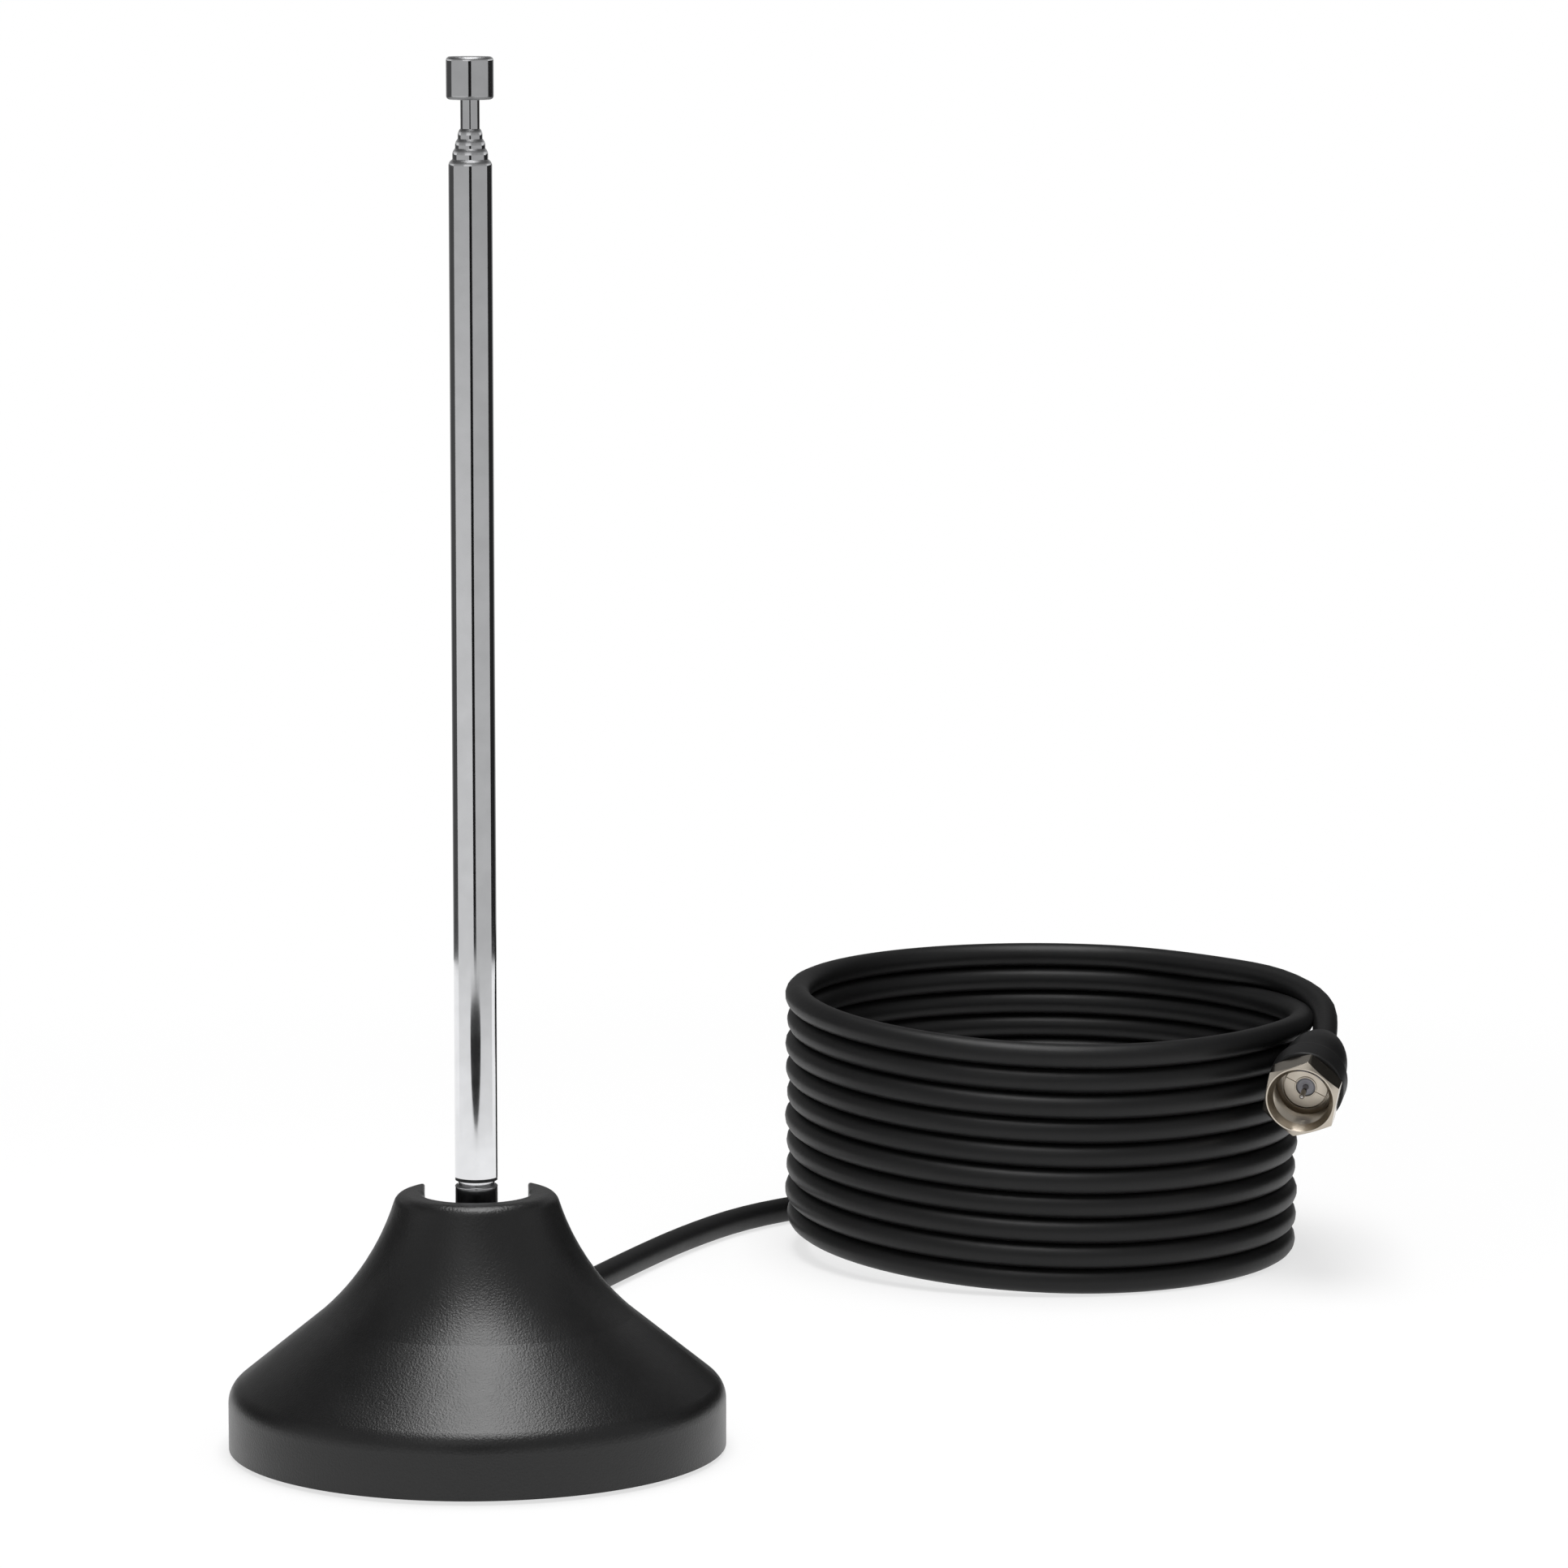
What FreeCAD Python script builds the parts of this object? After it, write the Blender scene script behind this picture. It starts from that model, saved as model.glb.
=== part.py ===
"""Indoor television aerial: a telescopic whip that folds back on a weighted, bell-shaped foot.

Millimetres, +Z up. The origin is on the table under the middle of the foot, and the viewer stands at -Y.
The coaxial cord leaves the foot at the back and lies beside it in a coil that ends in an F connector.
"""
import FreeCAD
import Part
import Sketcher

import math
import os
import re

# Driving dimensions: name, size, and what it measures.
SIZES = {
    "shell_r": (35.0, "rim radius of the foot"),
    "shell_wall": (2.4, "wall of the moulded foot"),
    "rim_z": (8.7, "height where the cone meets the rim"),
    "rim_round": (3.5, "rounding between cone and rim"),
    "flare_r": (22.0, "radius where the cone turns into the flare"),
    "flare_z": (19.3, "height where the cone turns into the flare"),
    "flare_round": (36.0, "hollow curve of the flare"),
    "collar_r": (11.2, "outer radius of the collar"),
    "collar_z": (36.6, "top of the collar"),
    "collar_round": (1.9, "rounding of the collar's outer top edge"),
    "bore_round": (0.8, "rounding of the collar's inner top edge"),
    "well_r": (7.5, "bore of the collar"),
    "well_wall": (1.8, "wall round the collar's bore"),
    "well_floor_z": (24.0, "floor of the collar's bore"),
    "well_floor_t": (2.0, "thickness of that floor"),
    "slot_w": (14.6, "width of the slot that the mast folds into"),
    "slot_round": (0.8, "rounding of the slot's upper edges"),
    "fold_room": (0.9, "room under the folded mast"),
    "skin_t": (2.3, "wall under the slot"),
    "pad_proud": (0.6, "how far the pad lifts the rim"),
    "pad_edge": (2.1, "cover's edge outside the pad"),
    "pad_w": (13.0, "width of the ring-shaped pad"),
    "pad_recess": (0.8, "depth of the pad's recess"),
    "plate_t": (3.0, "thickness of the bottom cover"),
    "plate_lip": (0.6, "step that the cover seats on"),
    "boss_inset": (11.0, "cover screws' circle inside the rim"),
    "boss_r": (3.0, "radius of a screw boss"),
    "screw_r": (1.1, "radius of a cover screw"),
    "screw_len": (8.0, "screw length in the boss"),
    "screw_head_r": (2.3, "radius of a cover screw's head"),
    "screw_head_t": (1.0, "thickness of a cover screw's head"),
    "ballast_in_r": (6.0, "bore of the ballast ring"),
    "ballast_clear": (2.0, "room between ballast and screw bosses"),
    "ballast_t": (9.0, "thickness of the ballast ring"),
    "pivot_z": (31.5, "height of the mast's pivot"),
    "pivot_r": (1.2, "radius of the pivot screw"),
    "pivot_head_r": (2.2, "radius of the pivot screw's head"),
    "pivot_head_t": (1.4, "thickness of the pivot screw's head"),
    "pivot_nut_af": (5.0, "pivot nut across flats"),
    "pivot_nut_t": (1.8, "thickness of the pivot nut"),
    "washer_t": (0.3, "thickness of a friction washer"),
    "yoke_t": (1.2, "sheet of the hinge yoke"),
    "yoke_reach": (3.1, "yoke ears beyond the pivot"),
    "yoke_screw_r": (1.25, "radius of the yoke screw"),
    "yoke_head_r": (2.4, "radius of the yoke screw's head"),
    "yoke_head_t": (1.6, "thickness of the yoke screw's head"),
    "tongue_t": (3.6, "thickness of the knuckle's tongue"),
    "tongue_top": (3.5, "height of the tongue above the pivot"),
    "neck_gap": (0.9, "groove between knuckle and mast"),
    "neck_round": (0.25, "rounding of that groove's edges"),
    "mast_foot_z": (38.6, "lower end of the outer tube"),
    "mast_len": (142.3, "length of the outer tube"),
    "mast_od": (6.0, "diameter of the outer tube"),
    "mast_wall": (0.36, "wall of the outer tube"),
    "inner_wall": (0.20, "wall of the inner tubes"),
    "slide_gap": (0.18, "room between one tube and the next"),
    "mouth_gap": (0.06, "room in a tube's rolled mouth"),
    "mouth_roll": (0.85, "height of a tube's rolled mouth"),
    "foot_gap": (0.06, "room round a sliding foot"),
    "foot_len": (7.0, "length of a sliding foot"),
    "plug_len": (3.0, "length of a foot inside its tube"),
    "show_2": (1.5, "second tube's end above the first"),
    "show_3": (1.3, "third tube's end above the second"),
    "show_4": (1.4, "fourth tube's end above the third"),
    "show_rod": (4.0, "end rod below the knob"),
    "knob_r": (3.27, "radius of the end knob"),
    "knob_len": (5.9, "length of the end knob"),
    "knob_round": (0.55, "rounding of the knob's edges"),
    "cord_d": (4.0, "diameter of the coaxial cord"),
    "coil_x": (91.2, "middle of the coil, to the right"),
    "coil_y": (139.0, "middle of the coil, to the back"),
    "coil_r": (39.4, "radius of the coil at the cord's middle"),
    "coil_top": (44.0, "top of the coil"),
    "coil_from": (133.0, "degrees where the cord joins the coil"),
    "coil_to": (60.0, "degrees where the cord leaves the coil"),
    "exit_z": (6.6, "height of the cord's way out"),
    "grommet_neck": (0.7, "grommet wall round the cord"),
    "grommet_head_r": (3.5, "radius of the grommet outside the foot"),
    "grommet_lip_r": (2.95, "radius of the grommet's lip inside the foot"),
    "grommet_ease": (2.7, "room for the sloping wall behind that lip"),
    "grommet_lip_t": (1.2, "thickness of that lip"),
    "grommet_len": (10.0, "grommet outside the foot"),
    "lug_t": (0.5, "sheet of the terminal lug"),
    "wire_d": (1.2, "diameter of the feed wire"),
    "plug_x": (128.6, "middle of the connector's mouth, to the right"),
    "plug_y": (102.0, "middle of the connector's mouth, to the back"),
    "plug_z": (30.2, "middle of the connector's mouth, above the table"),
    "plug_turn": (16.0, "degrees that the connector turns to the left"),
    "plug_droop": (12.0, "degrees that the connector hangs down"),
    "nut_af": (11.1, "coupling nut across flats"),
    "nut_len": (8.5, "length of the coupling nut"),
    "nut_hex": (4.6, "length of the nut's hexagon"),
    "nut_sleeve_r": (5.2, "radius of the nut behind its hexagon"),
    "nut_bore_r": (4.65, "bore of the coupling nut"),
    "nut_lip": (1.4, "lip at the back of the coupling nut"),
    "nut_bevel": (0.9, "bevel at the nut's corners"),
    "nut_clock": (42.0, "degrees round to the nut's first corner"),
    "flange_t": (1.2, "flange of the connector's body"),
    "flange_r": (3.5, "radius of that flange"),
    "throat_r": (2.7, "connector's body inside the nut's lip"),
    "ferrule_r": (4.3, "connector's body inside the boot"),
    "ferrule_len": (5.0, "length of the body inside the boot"),
    "spin_gap": (0.1, "room round the turning nut"),
    "core_r": (1.5, "radius of the insulator"),
    "pin_r": (0.42, "radius of the centre pin"),
    "pin_inset": (1.4, "pin's tip behind the nut's face"),
    "boot_skirt_r": (6.1, "radius of the boot's skirt round the nut"),
    "boot_r": (5.3, "radius of the boot behind its skirt"),
    "boot_len": (15.0, "length of the boot"),
    "boot_end_r": (2.9, "radius of the boot at the cord"),
    "seat_gap": (0.05, "room between pieces that are set into each other"),
}

ROUND_SHARE = 0.45
COVER_SCREWS = 3

doc = FreeCAD.newDocument("indoor_aerial")
sheet = doc.addObject("Spreadsheet::Sheet", "Sizes")
for row, (size_name, (size, meaning)) in enumerate(SIZES.items(), start=1):
    sheet.set(f"A{row}", meaning)
    sheet.set(f"B{row}", str(size))
    sheet.setAlias(f"B{row}", size_name)
doc.recompute()

nodes = []


def bind(text):
    """The expression with the sheet's name before each of its sizes."""
    return re.sub(r"[a-z_][a-z0-9_]*", lambda m: f"Sizes.{m[0]}" if m[0] in SIZES else m[0], text)


def value(text):
    return float(sheet.evalExpression(bind(text)))


def vector(*texts):
    return FreeCAD.Vector(*(value(text) for text in texts))


# Heights and radii that several pieces share.
PLATE_TOP = "(pad_proud + plate_t)"
PLATE_R = "(shell_r - shell_wall + plate_lip - 2 * seat_gap)"
PAD_OUT_R = f"({PLATE_R} - pad_edge)"
PAD_IN_R = f"({PAD_OUT_R} - pad_w)"
BOSS_AT_R = "(shell_r - boss_inset)"
BALLAST_OUT_R = f"({BOSS_AT_R} - boss_r - ballast_clear)"
BALLAST_TOP = f"({PLATE_TOP} + ballast_t)"
SLOT_FLOOR = "(pivot_z - mast_od / 2 - fold_room)"
HOLLOW_TOP = f"({SLOT_FLOOR} - skin_t)"
WELL_OUT_R = "(well_r + well_wall)"
WELL_UNDER = "(well_floor_z - well_floor_t)"
EAR_IN = "(tongue_t / 2 + spin_gap)"
EAR_OUT = f"({EAR_IN} + yoke_t)"
KNUCKLE_TOP = "(mast_foot_z - neck_gap)"
SPIGOT_TOP = "(mast_foot_z + foot_len)"
MOUTH_SEAT = "(0.6 * mouth_roll)"
NUT_CORNER = "(nut_af / 2 / cos(30))"
FLANGE_BACK = "(nut_len - nut_lip - spin_gap)"
FLANGE_FRONT = f"({FLANGE_BACK} - flange_t)"
BODY_STEP = "(nut_len + spin_gap)"
BOOT_BACK = f"({BODY_STEP} + boot_len)"
SKIRT_IN = "(nut_sleeve_r + 2 * spin_gap)"
CORD_END_Y = "(shell_r - 3.6 * shell_wall)"
CORD_OUT_Y = "(shell_r + grommet_len)"
LUG_UNDER = f"({WELL_UNDER} - lug_t)"

# The free cord's way along the table, from the grommet to the coil, and from the coil's top to the boot.
LEAD_ROUTE = [
    ("0", CORD_OUT_Y, "exit_z"),
    ("0", f"{CORD_OUT_Y} + 7", "exit_z"),
    ("1.6", "64", "cord_d * 0.9"),
    ("4", "77", "cord_d / 2"),
    ("10", "93", "cord_d / 2"),
    ("20.5", "111.5", "cord_d / 2"),
    ("34", "133", "cord_d / 2"),
    ("coil_x - coil_r * 1.063", "coil_y + coil_r * 0.36", "cord_d / 2"),
    ("coil_x + coil_r * cos(coil_from)", "coil_y + coil_r * sin(coil_from)", "cord_d / 2"),
]
TAIL_ROUTE = [
    ("coil_x + coil_r * cos(coil_to)", "coil_y + coil_r * sin(coil_to)", "coil_top - cord_d / 2"),
    ("coil_x + coil_r * 0.845", "coil_y + coil_r * 0.64", "coil_top - cord_d / 2"),
    ("coil_x + coil_r + cord_d", "coil_y + coil_r * 0.305", "coil_top - cord_d"),
]
# The feed wire's way from the cord's inner end, over the ballast, to the lug under the hinge.
WIRE_ROUTE = [
    ("0", CORD_END_Y, "exit_z"),
    ("0", f"{CORD_END_Y} - 3.2", "exit_z"),
    ("0", f"{BALLAST_OUT_R} + 2.2", "exit_z + 3"),
    ("0", f"{BALLAST_OUT_R} + 1.6", f"{BALLAST_TOP} + wire_d"),
    ("0", f"{WELL_OUT_R} + 5.7", f"{WELL_UNDER} - 3.4"),
    ("0", f"{WELL_OUT_R} + 1.7", f"{LUG_UNDER} - wire_d / 2"),
    ("0", f"{WELL_OUT_R} - 3.3", f"{LUG_UNDER} - wire_d / 2"),
]


def keep(piece, label):
    """Names a finished piece; the name is also its file's."""
    piece.Label = label
    nodes.append(piece)
    return piece


def place(piece, x="0", y="0", z="0"):
    """Ties the piece's position to the sheet."""
    for axis, text in zip("xyz", (x, y, z)):
        piece.setExpression(f"Placement.Base.{axis}", bind(text))


def new_body(label):
    return keep(doc.addObject("PartDesign::Body", label), label)


def new_sketch(body, name, plane, height=None):
    """A sketch on one of the body's own origin planes, or at a height over it."""
    sketch = body.newObject("Sketcher::SketchObject", name)
    flat = next(f for f in body.Origin.OriginFeatures if f.Role == plane)
    sketch.AttachmentSupport = [(flat, "")]
    sketch.MapMode = "FlatFace"
    if height is not None:
        sketch.setExpression("AttachmentOffset.Base.z", bind(height))
    return sketch


def tie(sketch, constraint, text):
    """Adds a constraint whose size follows the sheet."""
    index = sketch.addConstraint(constraint)
    sketch.renameConstraint(index, f"size_{index}")
    sketch.setExpression(f"Constraints.size_{index}", bind(text))


def pin_point(sketch, geometry, end, x, y):
    """Fixes a point of the sketch by its two distances from the sketch's origin."""
    for kind, text, axis in (("DistanceX", x, -2), ("DistanceY", y, -1)):
        if text == "0":
            sketch.addConstraint(Sketcher.Constraint("PointOnObject", geometry, end, axis))
        else:
            tie(sketch, Sketcher.Constraint(kind, -1, 1, geometry, end, value(text)), text)


def arc_between(start, stop, radius):
    """The shorter arc from start to stop, turning left for a positive radius and right for a negative one."""
    if radius < 0:
        return arc_between(stop, start, -radius)
    half = (stop - start) * 0.5
    left = FreeCAD.Vector(-half.y, half.x, 0).normalize()
    centre = start + half + left * math.sqrt(max(radius ** 2 - half.Length ** 2, 0.0))
    angles = [math.atan2((p - centre).y, (p - centre).x) for p in (start, stop)]
    return Part.ArcOfCircle(Part.Circle(centre, FreeCAD.Vector(0, 0, 1), radius), *angles)


def draw_outline(sketch, corners):
    """A closed outline. A corner is (x, y), or (x, y, radius) where an arc leaves it; -radius turns right."""
    first = sketch.GeometryCount
    points = [vector(corner[0], corner[1], "0") for corner in corners]
    ends = []
    for corner, point, following in zip(corners, points, points[1:] + points[:1]):
        if len(corner) == 2:
            sketch.addGeometry(Part.LineSegment(point, following))
            ends.append((1, 2))
            continue
        sketch.addGeometry(arc_between(point, following, value(corner[2])))
        ends.append((2, 1) if corner[2].startswith("-") else (1, 2))
    for index, corner in enumerate(corners):
        after = (index + 1) % len(corners)
        joint = (first + index, ends[index][1], first + after, ends[after][0])
        sketch.addConstraint(Sketcher.Constraint("Coincident", *joint))
        pin_point(sketch, first + index, ends[index][0], corner[0], corner[1])
        if len(corner) == 3:
            radius = corner[2].lstrip("-")
            tie(sketch, Sketcher.Constraint("Radius", first + index, value(radius)), radius)
    return sketch


def draw_circle(sketch, x, y, radius):
    circle = Part.Circle(vector(x, y, "0"), FreeCAD.Vector(0, 0, 1), value(radius))
    index = sketch.addGeometry(circle)
    pin_point(sketch, index, 3, x, y)
    tie(sketch, Sketcher.Constraint("Radius", index, value(radius)), radius)
    return sketch


def revolve(body, name, corners, kind="Revolution"):
    """Turns an outline of radii and heights about the body's Z axis, to add it or to groove with it."""
    sketch = draw_outline(new_sketch(body, f"{name}_profile", "XZ_Plane"), corners)
    feature = body.newObject(f"PartDesign::{kind}", name)
    feature.Profile = sketch
    feature.ReferenceAxis = (sketch, ["V_Axis"])
    feature.Angle = 360
    return feature


def extrude(body, name, sketch, length, kind="Pad", reverse=False):
    feature = body.newObject(f"PartDesign::{kind}", name)
    feature.Profile = sketch
    feature.Reversed = reverse
    feature.setExpression("Length", bind(length))
    return feature


def repeat_round(body, name, feature, count):
    """Copies a feature evenly about the body's Z axis."""
    pattern = body.newObject("PartDesign::PolarPattern", name)
    pattern.Originals = [feature]
    pattern.Axis = (next(f for f in body.Origin.OriginFeatures if f.Role == "Z_Axis"), [""])
    pattern.Angle = 360
    pattern.Occurrences = count
    body.Tip = pattern
    return pattern


def round_edges(body, name, radius, chosen):
    """Rounds the edges of the body's last feature that the test picks."""
    doc.recompute()
    base = body.Tip
    edges = [f"Edge{i}" for i, edge in enumerate(base.Shape.Edges, start=1) if chosen(edge)]
    fillet = body.newObject("PartDesign::Fillet", name)
    fillet.Base = (base, edges)
    fillet.setExpression("Radius", bind(radius))
    return fillet


def is_ring(edge, radius, z):
    """True for a circle of that radius about a vertical axis at that height."""
    if not isinstance(edge.Curve, Part.Circle):
        return False
    flat = abs(abs(edge.Curve.Axis.z) - 1) < 1e-6
    return flat and abs(edge.Curve.Radius - radius) < 1e-4 and abs(edge.Curve.Center.z - z) < 1e-4


def turned(label, corners):
    """A piece that is one turning about its own Z axis."""
    body = new_body(label)
    revolve(body, f"{label}_turning", corners)
    return body


def tube_along(points, diameter):
    """A round tube along straight runs and tangent arcs, its middle line's length, and the arcs' radii."""
    edges, radii = [], []
    last = points[0]
    for before, corner, after in zip(points, points[1:], points[2:]):
        to_before, to_after = before - corner, after - corner
        trim = ROUND_SHARE * min(to_before.Length, to_after.Length)
        turn = math.pi - to_before.getAngle(to_after)
        radii.append(trim / math.tan(turn / 2))
        start = corner + to_before.normalize() * trim
        stop = corner + to_after.normalize() * trim
        bisector = ((start + stop) * 0.5 - corner).normalize()
        middle = corner + bisector * (math.hypot(trim, radii[-1]) - radii[-1])
        edges += [Part.LineSegment(last, start).toShape(), Part.Arc(start, middle, stop).toShape()]
        last = stop
    edges.append(Part.LineSegment(last, points[-1]).toShape())
    path = Part.Wire(edges)
    ring = Part.Circle(points[0], points[1] - points[0], diameter / 2).toShape()
    tube = path.makePipeShell([Part.Wire([ring])], True, False)
    expected = math.pi * diameter ** 2 / 4 * path.Length
    if abs(tube.Volume / expected - 1) > 0.01:
        raise RuntimeError(f"tube volume {tube.Volume:.1f} differs from {expected:.1f}")
    return tube, path.Length, radii


def cord_piece(label, points, diameter):
    tube, length, radii = tube_along(points, diameter)
    piece = keep(doc.addObject("Part::Feature", label), label)
    piece.Shape = tube
    piece.Placement = FreeCAD.Placement()
    print(f"{label}: {length:.1f} mm, bends {[round(r, 1) for r in radii]}")


def make_base_shell():
    """Moulded bell with a rim below and a slotted collar on top; screw bosses stand inside it."""
    body = new_body("base_shell")
    revolve(body, "shell_wall_form", [
        ("shell_r", "pad_proud"),
        ("shell_r", "rim_z"),
        ("flare_r", "flare_z", "-flare_round"),
        ("collar_r", "collar_z"),
        ("well_r", "collar_z"),
        ("well_r", "well_floor_z"),
        ("yoke_screw_r + seat_gap", "well_floor_z"),
        ("yoke_screw_r + seat_gap", WELL_UNDER),
        (WELL_OUT_R, WELL_UNDER),
        (WELL_OUT_R, HOLLOW_TOP),
        ("flare_r - 3 * shell_wall", HOLLOW_TOP),
        ("flare_r - shell_wall", "flare_z - shell_wall / 2"),
        ("shell_r - shell_wall", "rim_z - shell_wall / 2"),
        ("shell_r - shell_wall", PLATE_TOP),
        ("shell_r - shell_wall + plate_lip", PLATE_TOP),
        ("shell_r - shell_wall + plate_lip", "pad_proud"),
    ])
    round_edges(body, "rim_rounding", "rim_round", lambda e: is_ring(e, value("shell_r"), value("rim_z")))
    for edge_name, ring, radius in (("collar", "collar_r", "collar_round"), ("bore", "well_r", "bore_round")):
        round_edges(body, f"{edge_name}_rounding", radius,
                    lambda e, r=value(ring): is_ring(e, r, value("collar_z")))
    boss = new_sketch(body, "boss_ring", "XY_Plane", PLATE_TOP)
    draw_circle(boss, "0", f"-{BOSS_AT_R}", "boss_r")
    slope = "(flare_z - rim_z) / (shell_r - flare_r)"
    boss_top = f"rim_z + (boss_inset - boss_r) * {slope} - shell_wall / 2"
    pad = extrude(body, "boss", boss, f"{boss_top} - {PLATE_TOP}")
    repeat_round(body, "bosses", pad, COVER_SCREWS)
    pilot = new_sketch(body, "pilot_ring", "XY_Plane", PLATE_TOP)
    draw_circle(pilot, "0", f"-{BOSS_AT_R}", "screw_r + seat_gap")
    hole = extrude(body, "pilot", pilot, "screw_len + seat_gap", "Pocket", reverse=True)
    repeat_round(body, "pilots", hole, COVER_SCREWS)
    slot = new_sketch(body, "slot_outline", "XZ_Plane")
    brim, over = "slot_w / 2 + slot_round", "collar_z + shell_wall"
    draw_outline(slot, [
        ("-slot_w / 2", SLOT_FLOOR), ("slot_w / 2", SLOT_FLOOR),
        ("slot_w / 2", "collar_z - slot_round", "-slot_round"), (brim, "collar_z"), (brim, over),
        (f"-({brim})", over), (f"-({brim})", "collar_z", "-slot_round"),
        ("-slot_w / 2", "collar_z - slot_round"),
    ])
    extrude(body, "mast_slot", slot, "shell_r", "Pocket")
    cord_hole = new_sketch(body, "cord_hole_ring", "XZ_Plane")
    draw_circle(cord_hole, "0", "exit_z", "cord_d / 2 + grommet_neck + seat_gap")
    extrude(body, "cord_hole", cord_hole, "shell_r + shell_wall", "Pocket")


def make_bottom():
    """Cover, pad, ballast and the three cover screws."""
    plate = new_body("base_plate")
    revolve(plate, "plate_disc", [
        ("0", "pad_proud"),
        (PAD_IN_R, "pad_proud"),
        (PAD_IN_R, "pad_proud + pad_recess"),
        (PAD_OUT_R, "pad_proud + pad_recess"),
        (PAD_OUT_R, "pad_proud"),
        (PLATE_R, "pad_proud"),
        (PLATE_R, PLATE_TOP),
        ("0", PLATE_TOP),
    ])
    for name, radius, depth in (
        ("shank_hole", "screw_r + 2 * seat_gap", "plate_t"),
        ("head_hole", "screw_head_r + 2 * seat_gap", "screw_head_t + pad_recess + seat_gap"),
    ):
        ring = new_sketch(plate, f"{name}_ring", "XY_Plane", "pad_proud")
        draw_circle(ring, "0", f"-{BOSS_AT_R}", radius)
        hole = extrude(plate, name, ring, depth, "Pocket", reverse=True)
        repeat_round(plate, f"{name}s", hole, COVER_SCREWS)
    turned("foot_pad", [
        (f"{PAD_IN_R} + 2 * seat_gap", "0"), (f"{PAD_OUT_R} - 2 * seat_gap", "0"),
        (f"{PAD_OUT_R} - 2 * seat_gap", "pad_proud + pad_recess"),
        (f"{PAD_IN_R} + 2 * seat_gap", "pad_proud + pad_recess"),
    ])
    turned("ballast_ring", [
        ("ballast_in_r", PLATE_TOP), (BALLAST_OUT_R, PLATE_TOP),
        (BALLAST_OUT_R, BALLAST_TOP), ("ballast_in_r", BALLAST_TOP),
    ])
    head_z = "pad_proud + pad_recess"
    parts = []
    for index in range(COVER_SCREWS):
        turn = f"{360 / COVER_SCREWS * index - 90}"
        for form, radius, low, high in (
            ("head", "screw_head_r", head_z, f"{head_z} + screw_head_t"),
            ("shank", "screw_r", head_z, f"{PLATE_TOP} + screw_len"),
        ):
            rod = doc.addObject("Part::Cylinder", f"cover_{form}_{index}")
            rod.setExpression("Radius", bind(radius))
            rod.setExpression("Height", bind(f"{high} - ({low})"))
            place(rod, f"{BOSS_AT_R} * cos({turn})", f"{BOSS_AT_R} * sin({turn})", low)
            parts.append(rod)
    screws = keep(doc.addObject("Part::MultiFuse", "cover_screws"), "cover_screws")
    screws.Shapes = parts


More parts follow.
